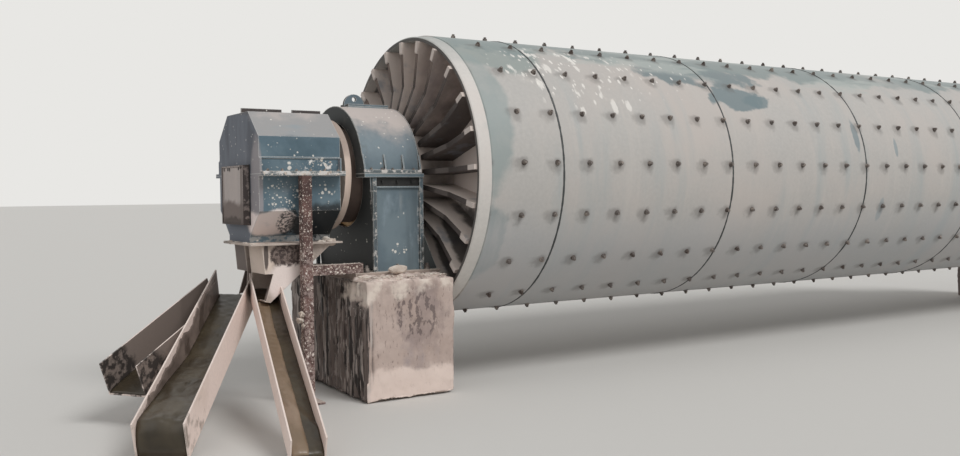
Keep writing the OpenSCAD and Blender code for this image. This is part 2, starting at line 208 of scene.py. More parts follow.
class MaskGroups:
    """Builds each shared shader group once and hands it out by its kind."""

    INPUTS = {
        Mask.PATCH: {"Stretch": ONES, "Scale": 2.0, "Low": 0.45, "High": 0.6},
        Mask.SPECK: {"Stretch": ONES, "Scale": 20.0, "Size": 0.35, "Share": 0.5},
        Mask.FACING: {"Normal": ZERO, "Direction": UP, "Low": 0.3, "High": 0.8, "Scale": 6.0, "Ragged": 0.6},
        Mask.EDGE: {"Size": 0.01, "Scale": 14.0, "Ragged": 1.2},
        Mask.ZONE: {"Centre": ZERO, "Half": ONES, "Scale": 6.0, "Ragged": 0.6},
        Mask.BOLTS: {"First": 0.0, "Spacing": 0.25, "Phase": 0.0, "Step": 0.35, "Radius": 0.9, "Axis": 1.3,
                     "Size": 0.06, "Scale": 18.0},
    }

    def __init__(self) -> None:
        """Starts with no group built."""
        self.built: dict[Mask, bpy.types.NodeTree] = {}

    def get(self, kind: Mask) -> bpy.types.NodeTree:
        """Returns the group of a kind, built on its first use."""
        if kind not in self.built:
            group = Group(kind.value, "ShaderNodeTree", {"Vector": ZERO, "Seed": 0.0, **self.INPUTS[kind]}, NUMBER)
            self.built[kind] = group.finish(getattr(self, kind.value)(group))
        return self.built[kind]

    @staticmethod
    def _wobble(group: Group, detail: float = 4.0, place: Socket | None = None) -> Socket:
        """Noise from about -0.5 to 0.5 at a place, different for each seed."""
        cloud = group.get("ShaderNodeTexNoise", {
            "Vector": group["Vector"] if place is None else place, "Scale": group["Scale"], "W": group["Seed"],
            "Detail": detail, "Roughness": 0.58}, noise_dimensions="4D")
        return group.sub(cloud, 0.5)

    @staticmethod
    def _step(group: Group, value, low, high) -> Socket:
        """A soft step from 0 at low to 1 at high."""
        return group.get("ShaderNodeMapRange", {"Value": value, "From Min": low, "From Max": high},
                         interpolation_type="SMOOTHSTEP")

    def patch_mask(self, group: Group) -> Socket:
        """Cloudy patches, or streaks where Stretch is uneven."""
        cloud = self._wobble(group, 6.0, group.vectors("MULTIPLY", group["Vector"], group["Stretch"]))
        return self._step(group, group.add(cloud, 0.5), group["Low"], group["High"])

    def speck_mask(self, group: Group) -> Socket:
        """Ragged splashes of many sizes, one in a share of the cells."""
        place = group.scaled(group.vectors("MULTIPLY", group["Vector"], group["Stretch"]), group["Scale"])
        place = group.vectors("ADD", place, group.xyz(group["Seed"], group["Seed"]))
        cloud = group.get("ShaderNodeTexNoise", {"Vector": place, "Scale": 2.3, "Detail": 3.0}, "Color")
        ragged = group.vectors("ADD", place, group.scaled(cloud, 0.55))
        cells = group.put("ShaderNodeTexVoronoi", {"Vector": ragged, "Scale": 1.0}).outputs
        dice = group.put("ShaderNodeSeparateColor", {0: cells["Color"]}).outputs
        radius = group.mul(group["Size"], group.add(group.maths("POWER", dice[0], 2.0), 0.15))
        blot = self._step(group, cells["Distance"], radius, group.mul(radius, 0.65))
        return group.mul(blot, group.maths("LESS_THAN", dice[1], group["Share"]))

    def facing_mask(self, group: Group) -> Socket:
        """Faces that look along a direction, with a ragged border: for dust that has settled and dirt on one side,
        and for painted shade and painted light that follow which way a face looks.
        """
        value = group.vectors("DOT_PRODUCT", group["Normal"], group["Direction"])
        value = group.add(value, group.mul(self._wobble(group), group["Ragged"]))
        return self._step(group, value, group["Low"], group["High"])

    def edge_mask(self, group: Group) -> Socket:
        """Edges and corners, broken up, where paint wears and splashes gather."""
        rounded = group.get("ShaderNodeBevel", {"Radius": group["Size"]}, samples=6)
        flat = group.get("ShaderNodeNewGeometry", None, "True Normal")
        turned = group.sub(1.0, group.vectors("DOT_PRODUCT", rounded, flat))
        gain = group.add(1.0, group.mul(self._wobble(group, 6.0), group.mul(group["Ragged"], 2.0)))
        return self._step(group, group.mul(turned, gain), 0.02, 0.16)

    def zone_mask(self, group: Group) -> Socket:
        """One rounded region of the piece, with a ragged border."""
        place = group.vectors("SUBTRACT", group["Vector"], group["Centre"])
        reach = group.vectors("LENGTH", group.vectors("DIVIDE", place, group["Half"]))
        reach = group.add(reach, group.mul(self._wobble(group, 5.0), group.mul(group["Ragged"], 2.0)))
        return self._step(group, reach, 1.08, 0.82)

    def bolt_stain_mask(self, group: Group) -> Socket:
        """Dark stain round every liner bolt of the drum, and the painted shadow that each bolt casts, longer on one
        side.
        """
        def from_bolt(place, first, step) -> Socket:
            """How far a place is from the nearest bolt of a row."""
            half = group.mul(step, 0.5)
            return group.maths("WRAP", group.sub(place, first), half, group.mul(half, -1.0))

        def lopsided(value, share: float) -> Socket:
            """A distance that counts more on its positive side."""
            return group.mul(group.add(group.mul(group.maths("SIGN", value), share), 1 - share), value)

        part = group.put("ShaderNodeSeparateXYZ", {0: group["Vector"]}).outputs
        along = from_bolt(part["X"], group["First"], group["Spacing"])
        angle = group.maths("ARCTAN2", group.sub(part["Z"], group["Axis"]), group.mul(part["Y"], -1.0))
        around = group.mul(from_bolt(angle, group["Phase"], group["Step"]), group["Radius"])
        reach = group.vectors("LENGTH", group.xyz(lopsided(along, 0.3), lopsided(around, 0.25)))
        reach = group.add(reach, group.mul(self._wobble(group, 5.0), group.mul(group["Size"], 1.3)))
        return self._step(group, reach, group["Size"], group.mul(group["Size"], 0.35))


MASKS = MaskGroups()


@dataclass(frozen=True)
class Layer:
    """One layer of dirt, wear, colour, painted shade or painted light. Settings and zone hold the inputs of its
    masks, by name.
    """

    mask: Mask
    colour: RGB
    amount: float = 1.0
    rough: float = 0.85
    height: float = 0.0
    settings: dict = field(default_factory=dict)
    zone: dict = field(default_factory=dict)

    def at(self, centre: Triple, half: Triple, ragged: float = 0.5, scale: float = 6.0) -> "Layer":
        """The same layer, kept to a rounded region with a ragged border."""
        return replace(self, zone={"Centre": centre, "Half": half, "Ragged": ragged, "Scale": scale})

    def place_mask(self, wiring: Wiring, place, index: int) -> Socket:
        """Places the mask's group, cut to the zone and the amount. The index varies its seed."""
        inputs = {"Vector": place["Object"], "Seed": 3.7 * index + 1.3, **self.settings}
        if self.mask is Mask.FACING:
            inputs["Normal"] = place["Normal"]
        mask = wiring.get("ShaderNodeGroup", inputs, node_tree=MASKS.get(self.mask))
        if self.zone:
            mask = wiring.mul(mask, wiring.get("ShaderNodeGroup", {"Vector": place["Object"], **self.zone},
                                               node_tree=MASKS.get(Mask.ZONE)))
        return wiring.mul(mask, self.amount) if self.amount != 1.0 else mask


@dataclass(frozen=True)
class Finish:
    """A procedural finish: a base coat, grain, and layers from the metal outwards. Heights are in millimetres."""

    name: str
    base: RGB
    rough: float = 0.6
    metallic: float = 0.0
    grain: float = 60.0
    grain_height: float = 0.6
    soften: float = 0.004
    layers: tuple[Layer, ...] = ()

    def build(self) -> bpy.types.Material:
        """Builds the node material."""
        material = bpy.data.materials.new(self.name)
        material.use_nodes = True
        material.node_tree.nodes.clear()
        wiring = Wiring(material.node_tree)
        place = wiring.put("ShaderNodeTexCoord").outputs
        cloud = wiring.get("ShaderNodeTexNoise", {"Vector": place["Object"], "Scale": self.grain, "Detail": 5.0})
        height = wiring.mul(cloud, self.grain_height)
        tone = wiring.mul(wiring.sub(cloud, 0.5), 0.22)
        colour = wiring.get("ShaderNodeHueSaturation", {"Value": wiring.add(tone, 1.0), "Color": linear(self.base)})
        rough = wiring.add(wiring.mul(tone, 0.8), self.rough)
        for index, layer in enumerate(self.layers):
            mask = layer.place_mask(wiring, place, index)
            colour = wiring.get("ShaderNodeMix", {0: mask, 6: colour, 7: linear(layer.colour)}, 2, data_type="RGBA")
            rough = wiring.get("ShaderNodeMix", {0: mask, 2: rough, 3: layer.rough})
            if layer.height:
                height = wiring.add(height, wiring.mul(mask, layer.height))
        bump = {"Height": height, "Distance": 0.001, "Strength": 1.0}
        if self.soften:
            bump["Normal"] = wiring.get("ShaderNodeBevel", {"Radius": self.soften}, samples=4)
        surface = wiring.get("ShaderNodeBsdfPrincipled", {
            "Base Color": colour, "Roughness": rough, "Metallic": self.metallic,
            "Normal": wiring.get("ShaderNodeBump", bump)})
        wiring.put("ShaderNodeOutputMaterial", {0: surface})
        return material


# Sizes that the dressing is set out from


@dataclass(frozen=True)
class MillSizes:
    """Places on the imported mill, read from its nodes, and the bolt pattern of its drum."""

    axis_z: float
    shell_r: float
    drum_x0: float
    drum_x1: float
    seams: tuple[float, ...]
    first_bolt: float = 0.635
    bolt_spacing: float = 0.25
    bolt_rings: int = 27
    bolt_rows: int = 18
    bolt_phase: float = math.radians(3.63)

    @classmethod
    def measure(cls) -> "MillSizes":
        """Reads the drum's place from the nodes of the frame."""
        courses = [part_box(f"shell_course_{number}") for number in range(1, 7)]
        low, high = courses[0]
        return cls(axis_z=(low.z + high.z) / 2, shell_r=(high.z - low.z) / 2, drum_x0=low.x,
                   drum_x1=courses[-1][1].x, seams=tuple(box[0].x for box in courses[1:]))


SIZES = MillSizes.measure()

TO_DISCHARGE = (-1.0, 0.0, 0.0)


def facing(colour: RGB, direction: Triple, low: float, high: float, amount: float, rough: float,
           height: float = 0.0, scale: float = 6.0, ragged: float = 0.6) -> Layer:
    """A layer on the faces that look along a direction."""
    return Layer(Mask.FACING, colour, amount, rough, height,
                 {"Direction": direction, "Low": low, "High": high, "Scale": scale, "Ragged": ragged})


def dust(amount: float, low: float = 0.35, high: float = 0.8, colour: RGB = (186, 174, 164)) -> Layer:
    """A layer of settled dust on faces that look up."""
    return facing(colour, (0.0, -0.25, 0.97), low, high, amount, 0.95, 0.5, 5.0, 0.7)


def specks(scale: float, size: float, share: float, amount: float, colour: RGB = (226, 222, 214),
           stretch: Triple = ONES) -> Layer:
    """A layer of dried white splashes."""
    return Layer(Mask.SPECK, colour, amount, 0.8, 0.8,
                 {"Scale": scale, "Size": size, "Share": share, "Stretch": stretch})


def patches(colour: RGB, scale: float, low: float, high: float, amount: float, rough: float = 0.8,
            height: float = 0.0, stretch: Triple = ONES) -> Layer:
    """A layer of cloudy patches, or of streaks where stretch is uneven."""
    return Layer(Mask.PATCH, colour, amount, rough, height,
                 {"Scale": scale, "Low": low, "High": high, "Stretch": stretch})


def edges(colour: RGB, size: float, amount: float) -> Layer:
    """A layer along edges and corners."""
    return Layer(Mask.EDGE, colour, amount, 0.75, 0.0, {"Size": size})


RUN_DOWN = (1, 1, 0.1)
ROUND_DRUM = (5, 0.7, 0.7)

SHELL = Finish("shell_paint_finish", (180, 177, 173), 0.6, grain=45, grain_height=0.35, soften=0, layers=(
    patches((191, 183, 177), 1.1, 0.4, 0.66, 0.85),
    patches((163, 169, 169), 0.8, 0.52, 0.72, 0.7, 0.5, stretch=ROUND_DRUM),
    patches((194, 188, 182), 2.6, 0.5, 0.75, 0.6, 0.85, stretch=ROUND_DRUM),
    patches((122, 136, 137), 2.4, 0.22, 0.52, 0.75, 0.42, stretch=(2, 0.6, 0.6))
    .at((0.42, -0.8, 0.9), (0.14, 0.3, 0.27), 0.55, 5),
    # painted shade: a darker patch on the top of the drum at its near end
    patches((138, 148, 145), 0.9, 0.15, 0.4, 0.85, 0.45).at((0.66, -0.4, 2.12), (0.4, 0.42, 0.22), 0.5, 3),
    patches((140, 151, 150), 1.6, 0.25, 0.52, 0.8, 0.45).at((0.43, -0.8, 1.72), (0.16, 0.5, 0.5), 0.5, 3.5),
    patches((101, 119, 124), 1.5, 0.12, 0.28, 0.88, 0.4).at((2.64, -0.76, 1.87), (0.26, 0.2, 0.1), 0.9),
    patches((101, 119, 124), 1.5, 0.12, 0.28, 0.85, 0.4).at((2.84, -0.78, 1.86), (0.14, 0.2, 0.05), 0.9, 8),
    patches((100, 117, 121), 3, 0.34, 0.48, 0.88, 0.4).at((2.4, -0.56, 2.03), (0.62, 0.24, 0.1), 1, 5),
    patches((112, 128, 134), 2, 0.15, 0.4, 0.75, 0.4).at((3.81, -0.85, 1.62), (0.036, 0.2, 0.13), 0.7, 8),
    patches((126, 141, 147), 2, 0.15, 0.4, 0.7, 0.4).at((4.287, -0.89, 1.54), (0.022, 0.2, 0.075), 0.6, 9),
    patches((132, 146, 152), 2, 0.15, 0.4, 0.6, 0.4).at((4.12, -0.87, 1.04), (0.04, 0.2, 0.1), 0.6, 9),
    patches((118, 132, 132), 0.7, 0.2, 0.42, 0.85, 0.42).at((4, -0.3, 2.2), (4, 0.5, 0.17), 1, 3),
    patches((170, 176, 172), 3, 0.52, 0.62, 0.7, 0.5, stretch=(0.35, 2, 2))
    .at((4, -0.4, 2.15), (3.4, 0.4, 0.2), 0.5, 2),
    # painted shade: a cooler, bluer tone on the faces of the drum that look down on its near side
    facing((172, 176, 180), (0, -0.56, -0.83), 0.66, 0.98, 0.5, 0.5, scale=1.2, ragged=0.4),
    patches((116, 131, 135), 0.9, 0.56, 0.66, 0.75, 0.42).at((4, 0.75, 1.5), (4.2, 0.55, 0.9), 0.7, 2),
    # stain round each liner bolt, and the painted shadow that each bolt casts, longer on one side
    Layer(Mask.BOLTS, (104, 100, 97), 0.42, 0.8, 0, {"First": SIZES.first_bolt, "Spacing": SIZES.bolt_spacing,
          "Phase": SIZES.bolt_phase, "Step": 2 * math.pi / SIZES.bolt_rows, "Radius": SIZES.shell_r,
          "Axis": SIZES.axis_z, "Size": 0.042}),
    specks(10, 0.48, 0.8, 0.85, (226, 222, 216), (1.5, 0.8, 0.8)).at((1.28, -0.66, 1.96), (0.52, 0.4, 0.3), 0.8, 4),
    specks(24, 0.5, 0.5, 0.88, (230, 226, 220), (1.5, 0.8, 0.8)).at((1.45, -0.62, 2.02), (0.85, 0.4, 0.26), 0.8, 4),
    patches((232, 229, 223), 9, 0.6, 0.66, 0.85, 0.9, 0.3, stretch=(1.5, 0.6, 0.6))
    .at((1.3, -0.62, 2.02), (0.6, 0.4, 0.2), 0.8, 4),
    patches((214, 206, 197), 7, 0.6, 0.75, 0.5, 0.9).at((1.1, -0.75, 1.85), (0.5, 0.4, 0.3), 0.6),
))
RIM = Finish("rim_paint_finish", (206, 202, 197), 0.5, grain=50, grain_height=0.3, soften=0, layers=(
    patches((214, 206, 200), 1.6, 0.42, 0.62, 0.8),
    patches((180, 184, 180), 3, 0.55, 0.75, 0.6, stretch=(1, 1.5, 1.5)),
    patches((150, 158, 156), 0.9, 0.3, 0.6, 0.7).at((0.37, -0.3, 2.2), (0.2, 0.8, 0.22), 0.3),
    facing((58, 54, 52), TO_DISCHARGE, 0.7, 0.9, 0.9, 0.7, ragged=0.2),
))


def head_layers(side: float, far: float = 0.0) -> list[Layer]:
    """Layers of one head: a pale dusty wall, painted brighter to lift the shade in the pockets between the ribs,
    greasy rib edges and bare pads at the rib tips.

    Args:
        side: -1 for the discharge head, whose outside looks down X, and 1 for the feed head.
        far: Twice the middle of the drum for the feed head, which mirrors the places.

    Returns:
        The layers, from the wall outwards.
    """
    axis = SIZES.axis_z
    return [facing(colour, (side, 0, 0), 0.35, 0.8, amount, 0.9, 0.3, 9, 0.5)
            .at((far - x if far else x, y, z), half, ragged) for colour, amount, (x, y, z), half, ragged in (
                # pale dusty wall, partly painted light that lifts the shade of the pockets between the ribs
                ((224, 210, 202), 0.88, (0.485, 0, axis), (0.06, 9, 9), 0),
                ((62, 55, 53), 0.93, (0.27, 0, axis), (0.088, 9, 9), 0),
                ((120, 105, 97), 0.7, (0.27, 0.25, 2.05), (0.25, 0.8, 0.55), 0.3),
                ((206, 195, 188), 0.95, (0.298, 0, axis), (0.0165, 9, 9), 0),
                ((60, 53, 50), 0.9, (0.27, 0, axis), (0.12, 0.8, 0.8), 0))]


HEAD = Finish("head_casting_finish", (172, 158, 151), 0.75, grain=38, grain_height=1.2, soften=0.006, layers=(
    patches((132, 124, 124), 3.5, 0.45, 0.65, 0.8),
    patches((190, 174, 166), 5, 0.5, 0.66, 0.7),
    facing((214, 201, 192), (-0.25, -0.45, 0.86), 0.05, 0.5, 0.92, 0.95, 0.8, 4, 0.8),
    # painted shadow: faces that look down, under the head's ribs, darkened
    facing((60, 53, 51), (0, 0.35, -0.94), 0.15, 0.6, 0.85, 0.8, scale=4, ragged=0.7),
    patches((122, 130, 140), 5, 0.56, 0.7, 0.6, 0.45),
    *head_layers(-1),
    *head_layers(1, SIZES.drum_x0 + SIZES.drum_x1),
    # painted shadow: near-black patch in the lower pockets of the discharge head, between its ribs
    patches((44, 39, 38), 2, 0.2, 0.4, 0.85, 0.6).at((0.49, -0.42, 0.8), (0.13, 0.5, 0.36), 0.4),
    patches((64, 56, 52), 2, 0.2, 0.4, 0.8, 0.6).at((0.36, 0, SIZES.axis_z), (0.3, 0.4, 0.4), 0.2),
))
TRUNNION = Finish("trunnion_steel_finish", (96, 83, 77), 0.6, 0.15, 40, 0.8, 0.004, (
    patches((120, 104, 96), 3, 0.4, 0.62, 0.85, 0.9),
    patches((62, 53, 50), 6, 0.52, 0.7, 0.7, 0.5),
    # beige end of the trunnion next to the hood, partly painted light: its pale tone is raised to lift it out of its
    # shade
    facing((192, 172, 159), TO_DISCHARGE, 0.4, 0.7, 0.92, 0.9, ragged=0.4),
    patches((236, 216, 202), 3, 0.15, 0.4, 0.92, 0.85).at((-0.265, -0.3, 1.36), (0.055, 0.6, 0.5), 0.2),
    dust(0.7, colour=(160, 144, 134)),
))
BEARING = Finish("bearing_paint_finish", (99, 115, 124), 0.48, grain=55, grain_height=0.4, layers=(
    patches((116, 131, 138), 4, 0.42, 0.62, 0.8, 0.6),
    patches((82, 94, 101), 6, 0.5, 0.7, 0.6, 0.45, stretch=RUN_DOWN),
    patches((158, 158, 153), 9, 0.6, 0.72, 0.5, 0.85, stretch=RUN_DOWN),
    dust(0.92, 0.62, 0.92, (198, 187, 181)),
    facing((36, 37, 36), TO_DISCHARGE, 0.45, 0.8, 0.94, 0.6, scale=7, ragged=0.4),
    patches((84, 84, 80), 5, 0.52, 0.66, 0.6).at((-0.19, 0, 1.5), (0.05, 0.6, 0.5), 0.4),
    patches((144, 158, 167), 5, 0.5, 0.64, 0.6, 0.7, stretch=(1.4, 1, 0.6))
    .at((0.05, -0.44, 1.05), (0.14, 0.1, 0.22), 0.6),
    patches((62, 63, 61), 3, 0.25, 0.45, 0.9, 0.7).at((0.25, -0.43, 0.84), (0.075, 0.05, 0.17), 0.3),
    patches((70, 76, 78), 6, 0.3, 0.5, 0.8, 0.6).at((-0.13, -0.44, 1), (0.03, 0.03, 0.34), 0.4),
    patches((192, 188, 183), 34, 0.52, 0.6, 0.85, 0.9, 0.6).at((-0.13, -0.44, 1), (0.03, 0.04, 0.34)),
    patches((172, 172, 170), 34, 0.46, 0.58, 0.8, 0.9, 0.6).at((0.19, -0.44, 1), (0.025, 0.04, 0.34)),
    patches((92, 100, 103), 3, 0.2, 0.4, 0.9, 0.6).at((0, -0.455, 1.342), (0.25, 0.03, 0.02), 0.1),
    edges((206, 205, 200), 0.007, 0.9),
    patches((214, 208, 203), 26, 0.48, 0.58, 0.9, 0.9, 0.6).at((0, -0.455, 1.347), (0.25, 0.03, 0.016), 0.4),
    specks(46, 0.34, 0.16, 0.9),
    specks(64, 0.6, 0.75, 0.95).at((0.03, -0.44, 0.87), (0.075, 0.1, 0.04), 0.3, 14),
    specks(52, 0.65, 0.8, 0.95).at((0.02, -0.44, 1.09), (0.06, 0.1, 0.032), 0.3, 14),
))
HOOD = Finish("hood_paint_finish", (86, 108, 120), 0.45, grain=55, grain_height=0.4, layers=(
    patches((104, 124, 134), 5, 0.45, 0.62, 0.8, 0.6),
    patches((128, 136, 140), 7, 0.56, 0.74, 0.55, 0.85, stretch=RUN_DOWN),
    facing((108, 112, 121), TO_DISCHARGE, 0.4, 0.8, 0.92, 0.8, 0.2, 5, 0.3),
    patches((66, 71, 82), 5, 0.44, 0.64, 0.8, 0.6, stretch=(1, 1.4, 0.35))
    .at((-0.81, 0.02, 1.5), (0.03, 0.34, 0.24), 0.4),
    patches((128, 128, 136), 4, 0.48, 0.66, 0.75, 0.7, stretch=(1, 1.4, 0.3))
    .at((-0.81, 0.12, 1.46), (0.03, 0.26, 0.2), 0.4),
    patches((156, 150, 152), 2.5, 0.22, 0.6, 0.85, stretch=(1, 1, 0.4)).at((-0.81, -0.32, 1.24), (0.03, 0.11, 0.3)),
    patches((78, 70, 68), 3, 0.25, 0.55, 0.8, 0.6).at((-0.81, -0.12, 1.73), (0.03, 0.12, 0.06)),
    dust(0.92, 0.3, 0.55, (162, 160, 159)),
    patches((140, 152, 158), 5, 0.38, 0.66, 0.8, 0.7, stretch=(0.6, 1, 1))
    .at((-0.5, -0.335, 1.585), (0.3, 0.07, 0.065), 0.9, 9),
    patches((190, 180, 175), 6, 0.46, 0.66, 0.7, 0.9, stretch=(0.7, 1, 1))
    .at((-0.56, -0.22, 1.68), (0.34, 0.1, 0.07), 0.9, 9),
    patches((64, 86, 97), 3, 0.42, 0.62, 0.7, 0.5).at((-0.6, -0.38, 1.48), (0.28, 0.1, 0.07)),
    # pale patch on the lower slanted panel, partly painted light that lifts the shade of its downward face
    patches((240, 226, 221), 3, 0.22, 0.5, 0.94, 0.95).at((-0.7, -0.28, 1.045), (0.15, 0.2, 0.09)),
    patches((24, 31, 35), 3, 0.2, 0.4, 0.95, 0.4).at((-0.4, -0.28, 1.04), (0.2, 0.2, 0.14)),
    patches((30, 35, 38), 60, 0.46, 0.55, 0.85, 0.6).at((-0.585, -0.28, 1.05), (0.09, 0.2, 0.1), 0.8),
    patches((176, 176, 174), 44, 0.44, 0.56, 0.85, 0.9, 0.4).at((-0.56, -0.19, 0.948), (0.34, 0.03, 0.022), 0.2),
    patches((70, 60, 57), 3, 0.2, 0.4, 0.95, 0.6).at((-0.56, -0.07, 1.715), (0.4, 0.03, 0.028), 0.1),
    # painted shadow: dark band on the split flange's face, under its pale lip
    patches((84, 94, 98), 3, 0.2, 0.4, 0.9, 0.6).at((-0.56, -0.44, 1.33), (0.34, 0.035, 0.02), 0.1),
    edges((200, 200, 197), 0.007, 0.9),
    patches((222, 218, 214), 22, 0.44, 0.54, 0.92, 0.9, 0.8).at((-0.56, -0.44, 1.335), (0.34, 0.035, 0.016), 0.3),
    specks(52, 0.32, 0.14, 0.9),
    specks(46, 0.5, 0.7, 0.95).at((-0.6, -0.38, 1.22), (0.27, 0.1, 0.125)),
    specks(80, 0.55, 0.5, 0.95).at((-0.66, -0.38, 1.2), (0.13, 0.1, 0.1), 0.6),
    specks(40, 0.62, 0.5, 0.95).at((-0.54, -0.38, 1.38), (0.24, 0.1, 0.045), 0.7),
    patches((234, 232, 228), 26, 0.54, 0.59, 0.95, 0.9, 0.6).at((-0.44, -0.38, 1.38), (0.1, 0.1, 0.035), 0.8),
))
DOOR = Finish("door_steel_finish", (172, 162, 158), 0.6, grain=45, grain_height=0.5, layers=(
    patches((190, 179, 174), 4, 0.4, 0.62, 0.8, 0.85, stretch=RUN_DOWN),
    patches((96, 82, 76), 2, 0.2, 0.4, 0.85, 0.7).at((-0.84, 0, 1.02), (0.1, 0.5, 0.16)),
    patches((60, 48, 43), 2, 0.2, 0.4, 0.85, 0.7).at((-0.84, 0, 1), (0.1, 0.5, 0.08), 0.6),
    patches((104, 92, 87), 2.5, 0.15, 0.55, 0.75, 0.7).at((-0.84, -0.175, 1.2), (0.1, 0.03, 0.3)),
    patches((104, 92, 87), 2.5, 0.15, 0.55, 0.75, 0.7).at((-0.84, 0.175, 1.2), (0.1, 0.03, 0.3)),
    facing((58, 50, 48), (0, -1, 0), 0.4, 0.7, 0.93, 0.6, 0.3, ragged=0.5),
    patches((150, 138, 133), 30, 0.5, 0.6, 0.85, 0.9, 0.8).at((-0.83, -0.215, 1.22), (0.1, 0.012, 0.4), 0.2),
    edges((52, 42, 40), 0.014, 0.85),
))
GREASE = Finish("dark_grease_finish", (36, 36, 36), 0.45, 0.2, 60, 0.6, 0, (
    patches((60, 58, 56), 20, 0.5, 0.65, 0.7, 0.7),
))
HOPPER = Finish("hopper_steel_finish", (192, 178, 168), 0.85, grain=70, grain_height=1.6, layers=(
    patches((166, 150, 138), 5, 0.45, 0.65, 0.8),
    patches((224, 207, 194), 3, 0.2, 0.55, 0.9, 0.9).at((-0.79, -0.26, 0.82), (0.08, 0.16, 0.13), 0.3),
    # painted light: the spout's inner far wall, which lies in shade, painted pale as if lit
    patches((240, 226, 220), 3, 0.2, 0.5, 0.92, 0.9).at((-0.64, -0.3, 0.7), (0.16, 0.14, 0.14), 0.3),
    patches((90, 77, 72), 2, 0.25, 0.45, 0.9, 0.6).at((-0.72, 0.06, 0.76), (0.3, 0.14, 0.3), 0.3),
    patches((96, 80, 75), 3, 0.2, 0.5, 0.8).at((-0.65, -0.36, 0.87), (0.12, 0.1, 0.07), 0.6),
    patches((56, 44, 42), 60, 0.44, 0.56, 0.9, 0.7, -0.8).at((-0.65, -0.36, 0.865), (0.13, 0.1, 0.075), 0.7),
    patches((60, 50, 47), 3, 0.25, 0.45, 0.9, 0.6).at((-0.775, -0.365, 0.86), (0.016, 0.03, 0.1)),
    patches((70, 60, 56), 3, 0.3, 0.5, 0.85, 0.6).at((-0.42, -0.34, 0.86), (0.16, 0.2, 0.12)),
    edges((214, 204, 194), 0.01, 0.7),
))
LAUNDER = Finish("launder_steel_finish", (234, 216, 207), 0.82, grain=60, grain_height=0.9, layers=(
    patches((214, 194, 182), 2.2, 0.46, 0.66, 0.7),
    patches((172, 156, 144), 3.5, 0.6, 0.78, 0.6, 0.5, stretch=(1, 1, 0.5)),
    patches((120, 106, 94), 9, 0.5, 0.64, 0.75, 0.6).at((-1.5, -1.2, 0.1), (0.4, 0.5, 0.16), 0.7),
    patches((104, 90, 82), 3, 0.3, 0.5, 0.8, 0.6).at((-0.8, 0, 0.68), (0.2, 0.3, 0.12), 0.4),
    patches((98, 85, 78), 2, 0.15, 0.45, 0.75, 0.5).at((-1.03, -0.06, 0.6), (0.17, 0.26, 0.22)),
    edges((238, 226, 218), 0.008, 0.85),
    facing((112, 101, 94), (0.6018, -0.7986, 0), 0.94, 0.98, 0.94, 0.6, ragged=0),
    patches((34, 29, 27), 26, 0.4, 0.54, 0.92, 0.7, 1).at((-1.62, -0.44, 0.2), (0.34, 0.26, 0.26), 0.6),
))
RUSTY = Finish("rusty_steel_finish", (88, 66, 62), 0.85, grain=80, grain_height=1, layers=(
    patches((118, 90, 84), 12, 0.45, 0.6, 0.8),
    patches((62, 46, 44), 8, 0.5, 0.65, 0.7),
    patches((150, 132, 127), 70, 0.56, 0.66, 0.6, 0.95, 0.8),
    patches((170, 153, 147), 60, 0.44, 0.6, 0.7, 0.95, 0.8).at((-0.55, -0.43, 0.4), (0.5, 0.3, 0.5), 0.8),
    specks(60, 0.55, 0.6, 0.92, (226, 216, 208)),
    dust(0.85, 0.5, 0.8, (206, 192, 182)),
))
PIER = Finish("concrete_finish", (188, 170, 161), 0.9, grain=34, grain_height=1.8, soften=0, layers=(
    patches((170, 151, 142), 3, 0.42, 0.62, 0.8, 0.9),
    patches((214, 198, 188), 5, 0.52, 0.7, 0.7, 0.9, 0.6),
    patches((140, 124, 118), 7, 0.55, 0.68, 0.7, 0.85, stretch=(1, 1, 0.18)),
    patches((158, 147, 147), 5, 0.4, 0.64, 0.75, stretch=(1, 1, 0.4)).at((0.06, -0.65, 0.36), (0.15, 0.1, 0.28), 0.8),
    patches((150, 140, 143), 9, 0.36, 0.72, 0.7).at((0, -0.65, 0.24), (0.075, 0.1, 0.14), 0.9, 9),
    patches((148, 132, 128), 8, 0.4, 0.62, 0.75, 0.85, -0.6, stretch=(1, 1, 0.6))
    .at((0.07, -0.65, 0.47), (0.17, 0.1, 0.2), 0.9, 7),
    patches((98, 86, 84), 30, 0.51, 0.57, 0.75, 0.9, -1.5, stretch=(1.3, 1, 0.7))
    .at((0.04, -0.65, 0.5), (0.16, 0.1, 0.17), 1),
    patches((124, 110, 104), 60, 0.605, 0.63, 0.6, 0.9, -1, stretch=(1.6, 1, 0.4)),
    patches((226, 208, 198), 3, 0.2, 0.5, 0.85, 0.9, 0.8).at((0, -0.65, 0.06), (0.5, 0.1, 0.13), 0.6),
    facing((112, 101, 96), TO_DISCHARGE, 0.25, 0.6, 0.94, 0.6, scale=5, ragged=0.5),
    # dried runs down the pier's outer end, darker in their sunken grooves and paler on their raised crests: partly
    # painted shade and painted highlight of their relief
    patches((30, 25, 24), 26, 0.48, 0.56, 0.9, 0.5, -1, stretch=(1, 1, 0.06))
    .at((-0.3, 0, 0.36), (0.08, 0.9, 0.6), 0.3),
    patches((182, 171, 165), 44, 0.51, 0.58, 0.85, 0.8, 1, stretch=(1, 1, 0.05))
    .at((-0.3, 0, 0.36), (0.08, 0.9, 0.6), 0.3),
    patches((206, 190, 180), 10, 0.36, 0.5, 0.9, 0.9, 1.2).at((-0.3, -0.58, 0.66), (0.06, 0.18, 0.1), 0.8),
    patches((226, 214, 202), 9, 0.45, 0.62, 0.8, 0.9, 0.8).at((0, -0.5, 0.72), (0.7, 0.4, 0.14), 0.9),
))
